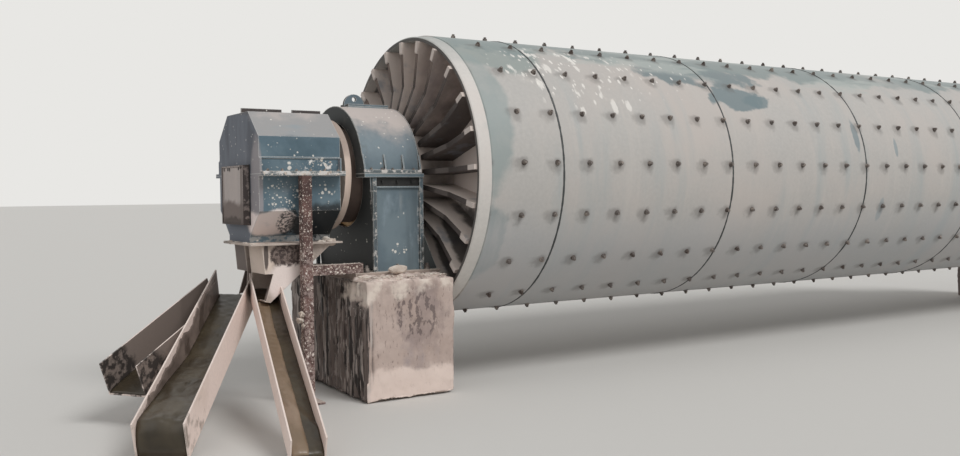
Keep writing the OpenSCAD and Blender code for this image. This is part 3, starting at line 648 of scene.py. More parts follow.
SOLE = Finish("sole_steel_finish", (168, 152, 142), 0.88, grain=60, grain_height=2, layers=(
    patches((126, 112, 104), 7, 0.45, 0.62, 0.85),
    patches((84, 70, 64), 10, 0.56, 0.7, 0.7),
    dust(0.9, 0.3, 0.7, (204, 190, 178)),
    edges((216, 204, 192), 0.012, 0.6),
))
BRONZE = Finish("bush_metal_finish", (150, 116, 72), 0.4, 0.8, 90, 0.2, 0, (
    patches((70, 54, 40), 8, 0.45, 0.65, 0.8, 0.5),
))
BOLT = Finish("bolt_steel_finish", (112, 105, 101), 0.6, 0.2, 160, 0.3, 0, (
    patches((160, 150, 142), 30, 0.48, 0.6, 0.8, 0.9),
    patches((76, 64, 58), 22, 0.5, 0.62, 0.8),
))
WELD = Finish("weld_seam_finish", (66, 69, 69), 0.6, 0.1, 120, 0.6, 0, (
    patches((112, 114, 112), 9, 0.55, 0.68, 0.6),
    patches((42, 42, 42), 14, 0.5, 0.62, 0.6, 0.6),
))
CRUST = Finish("dried_crust_finish", (212, 200, 188), 0.95, grain=120, grain_height=1.5, soften=0, layers=(
    patches((184, 168, 156), 14, 0.45, 0.62, 0.8, 0.95),
    patches((232, 226, 216), 30, 0.5, 0.64, 0.7, 0.95),
))
CAKE = Finish("caked_mortar_finish", (206, 188, 178), 0.95, grain=60, grain_height=2.4, soften=0, layers=(
    patches((160, 142, 134), 14, 0.46, 0.62, 0.8, 0.95),
    patches((226, 214, 204), 22, 0.5, 0.64, 0.8, 0.95),
    patches((104, 90, 84), 20, 0.6, 0.68, 0.7, 0.9),
))
SLURRY = Finish("wet_slurry_finish", (58, 50, 37), 0.34, grain=26, grain_height=1, soften=0, layers=(
    patches((74, 65, 49), 3, 0.45, 0.65, 0.8, 0.4, stretch=(1.6, 1.6, 0.6)),
    patches((44, 38, 28), 5, 0.52, 0.68, 0.8, 0.26),
))
COAT = Finish("dried_slurry_finish", (106, 93, 86), 0.6, grain=40, grain_height=1.4, soften=0, layers=(
    patches((134, 119, 110), 4, 0.45, 0.65, 0.85, 0.7),
    patches((76, 65, 58), 7, 0.52, 0.66, 0.8, 0.45),
))
STREAM = Finish("pale_stream_finish", (122, 104, 84), 0.34, grain=26, grain_height=1, soften=0, layers=(
    patches((150, 130, 112), 3, 0.45, 0.65, 0.8, 0.4, stretch=(1.6, 0.6, 0.6)),
    patches((104, 90, 76), 8, 0.55, 0.68, 0.7, 0.25, stretch=(1.6, 0.4, 0.4)),
))


def both_ends(*pieces: str) -> list[str]:
    """Names of the nodes that stand at both ends of the mill."""
    return [f"{end}_{piece}" for end in (DISCHARGE, FEED) for piece in pieces]


FINISH_OF_NODES = (
    (SHELL, [f"shell_course_{number}" for number in range(1, 7)]),
    (RIM, both_ends("rim")),
    (HEAD, both_ends("head")),
    (TRUNNION, both_ends("trunnion")),
    (BEARING, both_ends("bearing_base", "bearing_cap", "lifting_lug")),
    (HOOD, ["hood_upper", "hood_lower"]),
    (DOOR, ["hood_door"]),
    (HOPPER, ["hopper_flange", "front_spout", "rear_spout"]),
    (LAUNDER, ["front_launder", "rear_launder", "far_launder"]),
    (RUSTY, ["hood_post", "post_beam"]),
    (PIER, both_ends("pier")),
    (SOLE, both_ends("sole_plate")),
    (BRONZE, both_ends("bush")),
)


class Paintbox:
    """Hands out the material of each finish, built on its first use."""

    def __init__(self) -> None:
        """Starts with no material built."""
        self.made: dict[str, bpy.types.Material] = {}

    def get(self, finish: Finish) -> bpy.types.Material:
        """Returns the material of a finish."""
        if finish.name not in self.made:
            self.made[finish.name] = finish.build()
        return self.made[finish.name]

    def paint_nodes(self) -> None:
        """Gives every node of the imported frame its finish."""
        for finish, nodes in FINISH_OF_NODES:
            for name in nodes:
                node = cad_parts[name]
                if not node.material_slots:
                    node.data.materials.append(None)
                for slot in node.material_slots:
                    slot.material = self.get(finish)
            LOG.info("%s on %d nodes", finish.name, len(nodes))


PAINT = Paintbox()


def show(made: bpy.types.Object) -> bpy.types.Object:
    """Adds an object to the scene."""
    bpy.context.scene.collection.objects.link(made)
    return made


def seat_piece(piece: bpy.types.Object, seat: Seat) -> bpy.types.Object:
    """Puts a finished piece on its body."""
    body, slot = seat.value
    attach(piece, body.value)
    LOG.info("%s: %d faces on %s", piece.name, len(piece.data.polygons), body.value)
    return piece


def mesh_piece(data: bpy.types.Mesh, finish: Finish, seat: Seat, smooth: bool = True) -> bpy.types.Object:
    """Makes an object of a finished mesh, with the mesh's name, paints it and seats it on its body."""
    data.materials.append(PAINT.get(finish))
    data.polygons.foreach_set("use_smooth", [smooth] * len(data.polygons))
    return seat_piece(show(bpy.data.objects.new(data.name, data)), seat)


def plain_mesh(name: str, made: bmesh.types.BMesh) -> bpy.types.Mesh:
    """Turns a working mesh into a plain one, its normals outward, and frees the working one."""
    bmesh.ops.recalc_face_normals(made, faces=made.faces)
    data = bpy.data.meshes.new(name)
    made.to_mesh(data)
    made.free()
    return data


def box_place(low: Sequence[float], high: Sequence[float]) -> Matrix:
    """The matrix that puts a unit cube between two corners."""
    low, high = Vector(low), Vector(high)
    return Matrix.Translation((low + high) / 2) @ Matrix.Diagonal((*(high - low), 1))


class MeshMaker:
    """Collects small solids in one mesh: bevelled plates, rods and lumps."""

    def __init__(self) -> None:
        """Starts an empty mesh."""
        self.mesh = bmesh.new()

    def plate(self, low: Sequence[float], high: Sequence[float], bevel: float) -> None:
        """Adds a bevelled box between two corners."""
        made = bmesh.ops.create_cube(self.mesh, size=1, matrix=box_place(low, high))["verts"]
        rims = list({edge for vert in made for edge in vert.link_edges})
        bmesh.ops.bevel(self.mesh, geom=rims, offset=bevel, segments=2, profile=0.7, affect="EDGES")

    def rod(self, start: Sequence[float], end: Sequence[float], radius: float, sides: int) -> None:
        """Adds a round bar between two points."""
        start, end = Vector(start), Vector(end)
        run = end - start
        spot = Matrix.Translation((start + end) / 2) @ run.to_track_quat("Z", "Y").to_matrix().to_4x4()
        bmesh.ops.create_cone(self.mesh, cap_ends=True, segments=sides, radius1=radius, radius2=radius,
                              depth=run.length, matrix=spot)

    def lump(self, centre: Sequence[float], half: Sequence[float], seed: float, rough: float,
             detail: int = 3) -> None:
        """Adds a rough stone or clod.

        Args:
            centre: Its middle.
            half: Its half sizes.
            seed: Place in the noise that shapes it.
            rough: Share of its size that the noise moves.
            detail: Subdivisions of the ball that it starts from.
        """
        for vert in bmesh.ops.create_icosphere(self.mesh, subdivisions=detail, radius=1.0)["verts"]:
            unit = vert.co.copy()
            swell = 1 - rough + rough * noise.fractal(unit * 1.7 + Vector((seed, seed * 2, 0)), 0.7, 2.1, 4)
            vert.co = Vector([c + h * u * swell for c, h, u in zip(centre, half, unit)])

    def lumps(self, spots: Iterable[tuple[Sequence[float], Triple]], seed: float, step: float,
              rough: float) -> None:
        """Adds a clod at each middle with its half sizes, each from a later seed."""
        for number, (centre, half) in enumerate(spots):
            self.lump(centre, half, seed + number * step, rough)

    def piece(self, name: str, finish: Finish, seat: Seat, smooth: bool = True) -> bpy.types.Object:
        """Makes the object and seats it."""
        return mesh_piece(plain_mesh(name, self.mesh), finish, seat, smooth)


# Geometry node trees for what repeats


class Trees:
    """Builds each geometry node tree once and hands it out by its name."""

    BOLT = {"Washer radius": 0.028, "Nut radius": 0.019, "Stand": 0.046}
    BOLTS = {**BOLT, "Wear": 0.8, "Material": MATERIAL}
    INPUTS = {
        "hex_bolt": BOLT,
        "bolt_field": {"Rings": 27, "Rows": 18, "First": 0.6, "Spacing": 0.25, "Phase": 0.0, "Radius": 0.9,
                       "Axis": 1.3, **BOLTS},
        "bolt_row": {"Count": 4, "Start": ZERO, "End": ZERO, "Direction": UP, **BOLTS},
        "weld_bead": {"Geometry": GEOMETRY, "Radius": 0.006, "Step": 0.012, "Ripple": 0.3, "Sides": 8,
                      "Material": MATERIAL},
        "crust_field": {"Geometry": GEOMETRY, "Density": 200.0, "Smallest": 0.003, "Largest": 0.01, "Flatness": 0.35,
                        "Seed": 1, "Material": MATERIAL},
    }
    SMOOTH = ("weld_bead", "crust_field")

    def __init__(self) -> None:
        """Starts with no tree built."""
        self.built: dict[str, bpy.types.NodeTree] = {}

    def get(self, name: str) -> bpy.types.NodeTree:
        """Returns a tree, built on its first use. One that takes a material ends with real, painted instances."""
        if name not in self.built:
            group = Group(name, "GeometryNodeTree", self.INPUTS[name], GEOMETRY)
            shape = getattr(self, name)(group)
            if "Material" in self.INPUTS[name]:
                shape = group.get("GeometryNodeRealizeInstances", {0: shape})
                shape = group.get("GeometryNodeSetShadeSmooth", {0: shape, "Shade Smooth": name in self.SMOOTH})
                shape = group.get("GeometryNodeSetMaterial", {0: shape, "Material": group["Material"]})
            self.built[name] = group.finish(shape)
        return self.built[name]

    def hex_bolt(self, group: Group) -> Socket:
        """A washer, a nut and the end of a stud, standing on the ground of its own frame."""
        shapes = group.put("GeometryNodeJoinGeometry")
        for label, share, low, high, sides in (
                ("Washer radius", 1.0, 0.0, 0.20, 12), ("Nut radius", 1.0, 0.20, 0.64, 6),
                ("Nut radius", 0.62, 0.64, 1.0, 8)):
            bar = group.get("GeometryNodeMeshCylinder", {
                "Vertices": sides, "Radius": group.mul(group[label], share),
                "Depth": group.mul(group["Stand"], high - low)})
            lift = group.xyz(z=group.mul(group["Stand"], (low + high) / 2))
            bar = group.get("GeometryNodeTransform", {0: bar, "Translation": lift})
            group.tree.links.new(bar, shapes.inputs[0])
        return shapes.outputs[0]

    def _bolts_at(self, group: Group, points: Socket, direction: Socket, seed: int) -> Socket:
        """Puts a bolt on each point, its stud along a direction, each turned and scaled a little at random."""
        bolt = group.get("GeometryNodeGroup", {label: group[label] for label in self.BOLT},
                         node_tree=self.get("hex_bolt"))
        spin = group.get("FunctionNodeAxisAngleToRotation", {"Axis": UP, "Angle": group.dice(0.0, math.tau, seed)})
        aim = group.get("FunctionNodeAlignRotationToVector", {"Rotation": spin, "Vector": direction}, axis="Z")
        size = group.dice(group.xyz(0.94, 0.94, group["Wear"]), (1.06, 1.06, 1.0), seed + 1)
        return group.get("GeometryNodeInstanceOnPoints", {
            "Points": points, "Instance": bolt, "Rotation": aim, "Scale": size})

    def bolt_field(self, group: Group) -> Socket:
        """Rings of bolts round a drum that lies along X."""
        index = group.get("GeometryNodeInputIndex")
        ring = group.maths("FLOOR", group.maths("DIVIDE", index, group["Rows"]))
        row = group.sub(index, group.mul(ring, group["Rows"]))
        angle = group.add(group.mul(row, group.maths("DIVIDE", math.tau, group["Rows"])), group["Phase"])
        front, rise = group.mul(group.maths("COSINE", angle), -1.0), group.maths("SINE", angle)
        height = group.add(group.mul(rise, group["Radius"]), group["Axis"])
        spot = group.xyz(group.add(group.mul(ring, group["Spacing"]), group["First"]),
                         group.mul(front, group["Radius"]), height)
        points = group.get("GeometryNodePoints", {
            "Count": group.mul(group["Rings"], group["Rows"]), "Position": spot})
        return self._bolts_at(group, points, group.xyz(0.0, front, rise), 11)

    def bolt_row(self, group: Group) -> Socket:
        """A straight row of bolts between two points."""
        line = group.get("GeometryNodeMeshLine", {
            "Count": group["Count"], "Start Location": group["Start"], "Offset": group["End"]}, mode="END_POINTS")
        return self._bolts_at(group, line, group["Direction"], 23)

    def weld_bead(self, group: Group) -> Socket:
        """A rippled bead along the edges of the mesh that it is put on."""
        path = group.get("GeometryNodeMeshToCurve", {0: group["Geometry"]})
        path = group.get("GeometryNodeResampleCurve", {0: path, "Length": group["Step"]}, mode="LENGTH")
        swell = group.sub(1.0, group.mul(group.dice(0.0, 1.0, 5), group["Ripple"]))
        path = group.get("GeometryNodeSetCurveRadius", {0: path, "Radius": swell})
        outline = group.get("GeometryNodeCurvePrimitiveCircle", {
            "Resolution": group["Sides"], "Radius": group["Radius"]})
        return group.get("GeometryNodeCurveToMesh", {
            "Curve": path, "Profile Curve": outline, "Scale": swell, "Fill Caps": True})

    def crust_field(self, group: Group) -> Socket:
        """Dried blobs scattered over the faces of the mesh that it is put on."""
        scatter = group.put("GeometryNodeDistributePointsOnFaces", {
            "Mesh": group["Geometry"], "Density": group["Density"], "Seed": group["Seed"]}).outputs
        share = group.maths("POWER", group.dice(0.0, 1.0, 31), 3.0)
        width = group.add(group["Smallest"], group.mul(share, group.sub(group["Largest"], group["Smallest"])))
        flat = group.xyz(width, width, group.mul(width, group["Flatness"]))
        blob = group.get("GeometryNodeMeshIcoSphere", {"Radius": 1.0, "Subdivisions": 2})
        return group.get("GeometryNodeInstanceOnPoints", {
            "Points": scatter["Points"], "Instance": blob, "Rotation": scatter["Rotation"],
            "Scale": group.vectors("MULTIPLY", flat, group.dice((0.6, 0.6, 0.7), (1.3, 1.3, 1.2), 37))})


TREES = Trees()


def grow(name: str, tree_name: str, finish: Finish, seat: Seat, sizes: dict,
         source: bpy.types.Mesh | None = None) -> bpy.types.Object:
    """Runs a geometry node tree and keeps its result as a plain, seated piece.

    Args:
        name: Name of the piece.
        tree_name: The tree of TREES that makes it.
        finish: Its finish.
        seat: Where it rides.
        sizes: The tree's named inputs and their values.
        source: The mesh that the tree works on, if it needs one.

    Returns:
        The seated object.
    """
    made = show(bpy.data.objects.new(name, source or bpy.data.meshes.new(name)))
    worker = made.modifiers.new("maker", "NODES")
    worker.node_group = TREES.get(tree_name)
    sockets = {item.name: item.identifier for item in worker.node_group.interface.items_tree
               if item.in_out == "INPUT"}
    for label, value in {**sizes, "Material": PAINT.get(finish)}.items():
        worker[sockets[label]] = value
    bpy.context.view_layer.update()
    result = bpy.data.meshes.new_from_object(made.evaluated_get(bpy.context.evaluated_depsgraph_get()))
    made.modifiers.clear()
    made.data = result
    result.name = name
    return seat_piece(made, seat)


def side_bolts(name: str, seat: Seat, box: Sequence[Vector], z: float, inset: float, margin: float, count: int,
               radii: tuple[float, float], stand: float, wear: float = 0.8) -> None:
    """Sets an upright row of bolts along both long sides of a box.

    Args:
        name: Name of the pieces, before the side.
        seat: Where they ride.
        box: The lowest and the highest corner.
        z: Height of the face that they stand on.
        inset: How far the rows are from the box's sides.
        margin: How far the rows stop from the box's ends.
        count: Bolts in each row.
        radii: Of the washers and of the nuts.
        stand: Height of the studs.
        wear: Height of the shortest stud, as a share.
    """
    low, high = box
    for side, y in (("near", low.y + inset), ("far", high.y - inset)):
        grow(f"{name}_{side}", "bolt_row", BOLT, seat, {
            "Count": count, "Start": (low.x + margin, y, z), "End": (high.x - margin, y, z), "Direction": UP,
            "Washer radius": radii[0], "Nut radius": radii[1], "Stand": stand, "Wear": wear})


def lay_bead(name: str, finish: Finish, seat: Seat, paths: Iterable[Sequence[Triple]], radius: float, step: float,
             ripple: float, sides: int = 6, closed: bool = False) -> None:
    """Lays a weld bead along lists of points.

    Args:
        name: Name of the piece.
        finish: Its finish.
        seat: Where it rides.
        paths: The lists of points.
        radius: Radius of the bead.
        step: Length of a ripple.
        ripple: Share of the radius that ripples.
        sides: Sides of the bead's outline.
        closed: Joins the end of each list to its start.
    """
    points, lines = [], []
    for path in paths:
        first = len(points)
        points += path
        lines += [(first + k, first + k + 1) for k in range(len(path) - 1)]
        if closed:
            lines.append((len(points) - 1, first))
    data = bpy.data.meshes.new("path")
    data.from_pydata(points, lines, [])
    grow(name, "weld_bead", finish, seat, {"Radius": radius, "Step": step, "Ripple": ripple, "Sides": sides}, data)


def scatter_crust(name: str, seat: Seat, low: Sequence[float], high: Sequence[float], density: float,
                  widths: tuple[float, float], flatness: float, seed: int) -> None:
    """Scatters dried blobs over the faces of a box.

    Args:
        name: Name of the piece.
        seat: Where it rides.
        low: The box's lowest corner.
        high: Its highest corner.
        density: Blobs on a square metre.
        widths: Half widths of the smallest and of the largest blob.
        flatness: Height of a blob as a share of its width.
        seed: Seed of the scatter.
    """
    made = bmesh.new()
    bmesh.ops.create_cube(made, size=1, matrix=box_place(low, high))
    grow(name, "crust_field", CRUST, seat, {
        "Density": density, "Smallest": widths[0], "Largest": widths[1], "Flatness": flatness, "Seed": seed},
        plain_mesh("box", made))


def sheet_mesh(name: str, columns: int, rows: int, spot: Callable[[int, int, bool], Vector]) -> bpy.types.Mesh:
    """Makes a closed mesh of a wavy top over a bottom, joined round its border.

    Args:
        name: Name of the mesh.
        columns: Cells along the first direction.
        rows: Cells along the second direction.
        spot: Gives the point of a column and a row, of the top where the last value is true.

    Returns:
        The mesh, its normals outward.
    """
    made = bmesh.new()
    top, bottom = ([[made.verts.new(spot(i, j, raised)) for j in range(rows + 1)] for i in range(columns + 1)]
                   for raised in (True, False))
    for i in range(columns):
        for j in range(rows):
            for side in (top, bottom):
                made.faces.new((side[i][j], side[i + 1][j], side[i + 1][j + 1], side[i][j + 1]))
    ring = ([(i, 0) for i in range(columns)] + [(columns, j) for j in range(rows)]
            + [(i, rows) for i in range(columns, 0, -1)] + [(0, j) for j in range(rows, 0, -1)])
    for (i, j), (k, m) in zip(ring, ring[1:] + ring[:1]):
        made.faces.new((top[i][j], top[k][m], bottom[k][m], bottom[i][j]))
    return plain_mesh(name, made)


# Sub-assemblies


@dataclass
class Drum:
    """Liner bolts and course welds of the turning drum."""

    washer_r: float = 0.0175
    nut_r: float = 0.0145
    stand: float = 0.029
    bolt_sink: float = 0.001
    bead_r: float = 0.011
    bead_sink: float = 0.006
    bead_points: int = 240

    def build(self) -> None:
        """Sets the liner bolts in rings round the shell, and lays a bead in the groove of each course joint."""
        grow("liner_bolts", "bolt_field", BOLT, Seat.SHELL, {
            "Rings": SIZES.bolt_rings, "Rows": SIZES.bolt_rows, "First": SIZES.first_bolt,
            "Spacing": SIZES.bolt_spacing, "Phase": SIZES.bolt_phase, "Radius": SIZES.shell_r - self.bolt_sink,
            "Axis": SIZES.axis_z, "Washer radius": self.washer_r, "Nut radius": self.nut_r, "Stand": self.stand,
            "Wear": 0.8})
        turns = [math.tau * k / self.bead_points for k in range(self.bead_points)]
        lay_bead("course_welds", WELD, Seat.SHELL,
                 [arc(seam, SIZES.shell_r - self.bead_sink, turns) for seam in SIZES.seams],
                 self.bead_r, step=0.02, ripple=0.2, sides=8, closed=True)


def arc(x: float, radius: float, turns: Iterable[float]) -> list[Triple]:
    """Points round the drum axis, at one place along it."""
    return [(x, radius * math.cos(turn), SIZES.axis_z + radius * math.sin(turn)) for turn in turns]


@dataclass
class Trough:
    """The slurry that stands and runs in one launder. Its frame repeats the launder's own place in the source."""

    name: str
    head: Triple
    turn: float
    fall: float
    run: float
    width: float
    start_depth: float
    end_depth: float
    seed: float
    rise_from: float = 0.25
    end_round: float = 0.07
    rows: int = 120
    columns: int = 16

    def fractal(self, along: float, across: float, detail: int) -> float:
        """Noise at a place on the slurry."""
        return noise.fractal(Vector((along, across, self.seed)), 0.8, 2.0, detail)

    def depth(self, along: float, across: float) -> float:
        """Depth of the slurry at a share along the launder and a share across it, from -1 to 1."""
        share = max(0.0, along - self.rise_from) / (1 - self.rise_from)
        rise = self.start_depth + (self.end_depth - self.start_depth) * share
        drift = 0.35 * self.fractal(along * 7, across * 1.2, 3)
        channel = 1 - 0.25 * math.exp(-((across - 0.15) * 2.2) ** 2) * (1 - along)
        ripple = 0.003 * noise.noise(Vector((along * 60, across * 5, self.seed)))
        past = max(0.0, (along - 1) * self.run / self.end_round + 1)
        ridge = 0.012 * share * math.exp(-((along - 0.80 - 0.10 * across) * 30) ** 2)
        level = rise * channel * (1 + 0.3 * drift) + ripple + ridge
        return max(0.004, level * math.sqrt(max(0.0, 1 - 0.85 * past * past)))

    def lay(self, name: str, finish: Finish, columns: int, spot: Callable[[int, int, bool], tuple]) -> None:
        """Makes a sheet whose points are shares along, and metres across and up, in the launder's own frame."""
        place = (Matrix.Translation(self.head) @ Matrix.Rotation(math.radians(self.turn), 4, "Z")
                 @ Matrix.Rotation(math.radians(self.fall), 4, "Y"))

        def placed(row: int, column: int, raised: bool) -> Vector:
            """A point of the sheet in the mill's frame."""
            along, across, up = spot(row, column, raised)
            return place @ Vector((self.run * along, across, up))

        mesh_piece(sheet_mesh(name, self.rows, columns, placed), finish, Seat.LAUNDER)

    def build(self) -> None:
        """Builds the slurry as a closed mesh that fills the launder's floor from wall to wall."""
        def spot(row: int, column: int, raised: bool) -> tuple[float, float, float]:
            """A point of the slurry's surface or of its underside."""
            along, across = row / self.rows, 2 * column / self.columns - 1
            height = self.depth(along, across) if raised else 0.0005
            return 0.004 + 0.992 * along, across * (self.width / 2 - 0.0005), height

        self.lay(self.name, SLURRY, self.columns, spot)

    def wall_coat(self, name: str, side: float, height: float, start: float = 0.02, end: float = 0.9) -> None:
        """Coats the inside of one wall with dried slurry up to a ragged line.

        Args:
            name: Name of the piece.
            side: The wall, -1 or 1.
            height: Mean height of the coat above the floor.
            start: Share along the launder where it begins.
            end: Share along the launder where it ends.
        """
        face, columns = side * (self.width / 2 - 0.0006), 8

        def spot(row: int, column: int, raised: bool) -> tuple[float, float, float]:
            """A point of the coat's face or of its back on the wall."""
            along = start + (end - start) * row / self.rows
            ragged = 1 + 0.22 * self.fractal(along * 9, side, 4)
            up = 0.003 + (height * ragged - 0.003) * column / columns
            skin = 0.0025 + 0.0015 * self.fractal(along * 40, up * 25, 3)
            return along, face - side * (skin if raised else 0.0), up

        self.lay(name, COAT, columns, spot)

    def stream(self, name: str, low: float, high: float, start: float, lift: float) -> None:
        """Runs a paler stream along one side of the slurry, with rounded borders.

        Args:
            name: Name of the piece.
            low: Its side as a share across the launder, from -1 to 1.
            high: Its other side.
            start: Share along the launder where it begins.
            lift: Its height above the slurry.
        """
        columns = 10

        def spot(row: int, column: int, raised: bool) -> tuple[float, float, float]:
            """A point of the stream's surface or of its underside."""
            along, share = start + (1 - start) * row / self.rows, column / columns
            sway = 0.10 * noise.noise(Vector((along * 5, 0.0, self.seed + 9)))
            across = max(-1.0, min(1.0, low + (high - low) * share + sway))
            swell = lift * math.sqrt(max(0.0, 1 - (2 * share - 1) ** 2)) * min(1.0, 8 * row / self.rows)
            height = self.depth(along, across) + (swell if raised else -0.003)
            return 0.006 + 0.988 * along, across * (self.width / 2 - 0.0005), height

        self.lay(name, STREAM, columns, spot)


@dataclass
class Pier:
    """A concrete pier with worn corners, pitted faces and dried runs down its outer end."""

    node: str
    pitch: float = 0.012
    run_side: float = -1.0
    corner: float = 0.02
    run_depth: float = 0.030

    def build(self) -> None:
        """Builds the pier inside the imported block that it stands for."""
        low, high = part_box(self.node)
        made = bmesh.new()
        self._grid_box(made, low, high)
        for vert in made.verts:
            vert.co = self._worn(vert.co, (low + high) / 2, (high - low) / 2)
        piece = mesh_piece(plain_mesh(self.node + "_worn", made), PIER, Seat.CONCRETE)
        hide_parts(self.node)

    def _grid_box(self, made: bmesh.types.BMesh, low: Vector, high: Vector) -> None:
        """Fills a mesh with a box whose faces are divided at the pitch."""
        size = high - low
        counts = [max(2, round(length / self.pitch)) for length in size]
        found: dict[tuple, bmesh.types.BMVert] = {}

        def corner_at(cell: Sequence[int]) -> bmesh.types.BMVert:
            """The vertex of a grid cell, shared by the faces that meet there."""
            key = tuple(cell)
            if key not in found:
                found[key] = made.verts.new([low[k] + size[k] * key[k] / counts[k] for k in range(3)])
            return found[key]

        for axis in range(3):
            u, v = (axis + 1) % 3, (axis + 2) % 3
            for side, i, j in product((0, counts[axis]), range(counts[u]), range(counts[v])):
                loop = []
                for a, b in ((i, j), (i + 1, j), (i + 1, j + 1), (i, j + 1)):
                    cell = [0, 0, 0]
                    cell[axis], cell[u], cell[v] = side, a, b
                    loop.append(corner_at(cell))
                made.faces.new(loop)

    def _worn(self, spot: Vector, middle: Vector, half: Vector) -> Vector:
        """Where a point of the sharp block ends up: never outside the block."""
        away = spot - middle
        chip = self.corner * (1.0 + 1.4 * noise.fractal(spot * 5, 0.8, 2.0, 4))
        inner = Vector([max(0.0, abs(away[k]) - (half[k] - chip)) for k in range(3)])
        if spot.z < 0.001:
            inner.z = 0
        if inner.length > chip > 0:
            inner *= chip / inner.length
        worn = Vector([math.copysign(min(abs(away[k]), half[k] - chip) + inner[k], away[k])
                       if abs(away[k]) > half[k] - chip else away[k] for k in range(3)])
        pit = 0.004 + 0.005 * noise.fractal(spot * 9, 0.7, 2.1, 5)
        on_face = [abs(abs(away[k]) - half[k]) < 1e-5 for k in range(2)]
        for k in range(2):
            if on_face[k]:
                worn[k] -= math.copysign(max(0.0, pit), away[k])
        if away.x * self.run_side > 0 and on_face[0]:
            wander = 0.05 * noise.noise(Vector((spot.y * 4, spot.z * 4, 8.0)))
            ridge = 1.3 * noise.fractal(Vector(((spot.y + wander) * 38, spot.z * 1.8, 3.0)), 0.9, 2.0, 3)
            worn.x -= math.copysign(self.run_depth * (0.5 + max(-0.5, min(0.5, ridge))), away.x)
        return middle + worn


@dataclass
class Bearing:
    """Bolts, frames and weld beads of one trunnion bearing, mirrored at the feed end."""

    end: str
    mirror_x: float | None = None
    side_y: float = 0.430
    bar_x: tuple = ((-0.138, -0.112), (0.179, 0.205))
    slot_x: tuple = (-0.07, 0.03, 0.13)
    bead_r: float = 0.0045

    def span(self, *places: float) -> list[float]:
        """Places along the axis, mirrored for the feed end, in rising order."""
        return sorted(x if self.mirror_x is None else 2 * self.mirror_x - x for x in places)

    def build(self) -> None:
        """Builds every piece of the bearing's dressing."""
        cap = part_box(f"{self.end}_bearing_cap")
        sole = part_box(f"{self.end}_sole_plate")
        side_bolts(f"{self.end}_split_bolts", Seat.BEARING, cap, cap[0].z + 0.0215, inset=0.013, margin=0.05, count=5,
                   radii=(0.0095, 0.008), stand=0.015)
        self.frames(sole[1].z)
        side_bolts(f"{self.end}_anchor_bolts", Seat.SOLE, sole, sole[1].z - 0.001, inset=0.022, margin=0.08, count=3,
                   radii=(0.019, 0.016), stand=0.045, wear=0.85)
        radius = min(cap[1].z - SIZES.axis_z - 0.001, 0.4295)
        turns = [math.pi * (0.07 + 0.86 * k / 70) for k in range(71)]
        lay_bead(f"{self.end}_cap_beads", BEARING, Seat.BEARING,
                 [arc(x, radius, turns) for x in (cap[0].x + 0.004, cap[1].x - 0.004)],
                 self.bead_r, step=0.012, ripple=0.35)

    def skin(self, side: int, thick: float) -> list[float]:
        """The two faces of a plate that stands on one side of the base."""
        return sorted(side * (self.side_y + depth) for depth in (-0.001, thick))

    def frames(self, foot: float) -> None:
        """Adds the upright edge bars and the dark bolt strip on both long sides of the base."""
        steel, slots = MeshMaker(), MeshMaker()
        top = SIZES.axis_z - 0.022
        for side in (-1, 1):
            inner, outer = self.skin(side, 0.014)
            for bar in self.bar_x:
                a, b = self.span(*bar)
                steel.plate((a, inner, foot + 0.001), (b, outer, top + 0.0005), 0.003)
            a, b = self.span(self.bar_x[0][1], self.bar_x[1][0])
            steel.plate((a, inner, top - 0.064), (b, outer, top - 0.054), 0.002)
            inner, outer = self.skin(side, 0.004)
            slots.plate((a + 0.001, inner, top - 0.0535), (b - 0.001, outer, top - 0.0005), 0.001)
            for x in self.slot_x:
                start, end = ((self.span(x)[0], side * (self.side_y + out), top - 0.026) for out in (0.001, 0.016))
                slots.rod(start, end, 0.009, 12)
        steel.piece(f"{self.end}_base_frame", BEARING, Seat.BEARING, smooth=False)
        slots.piece(f"{self.end}_base_slots", GREASE, Seat.BEARING, smooth=False)


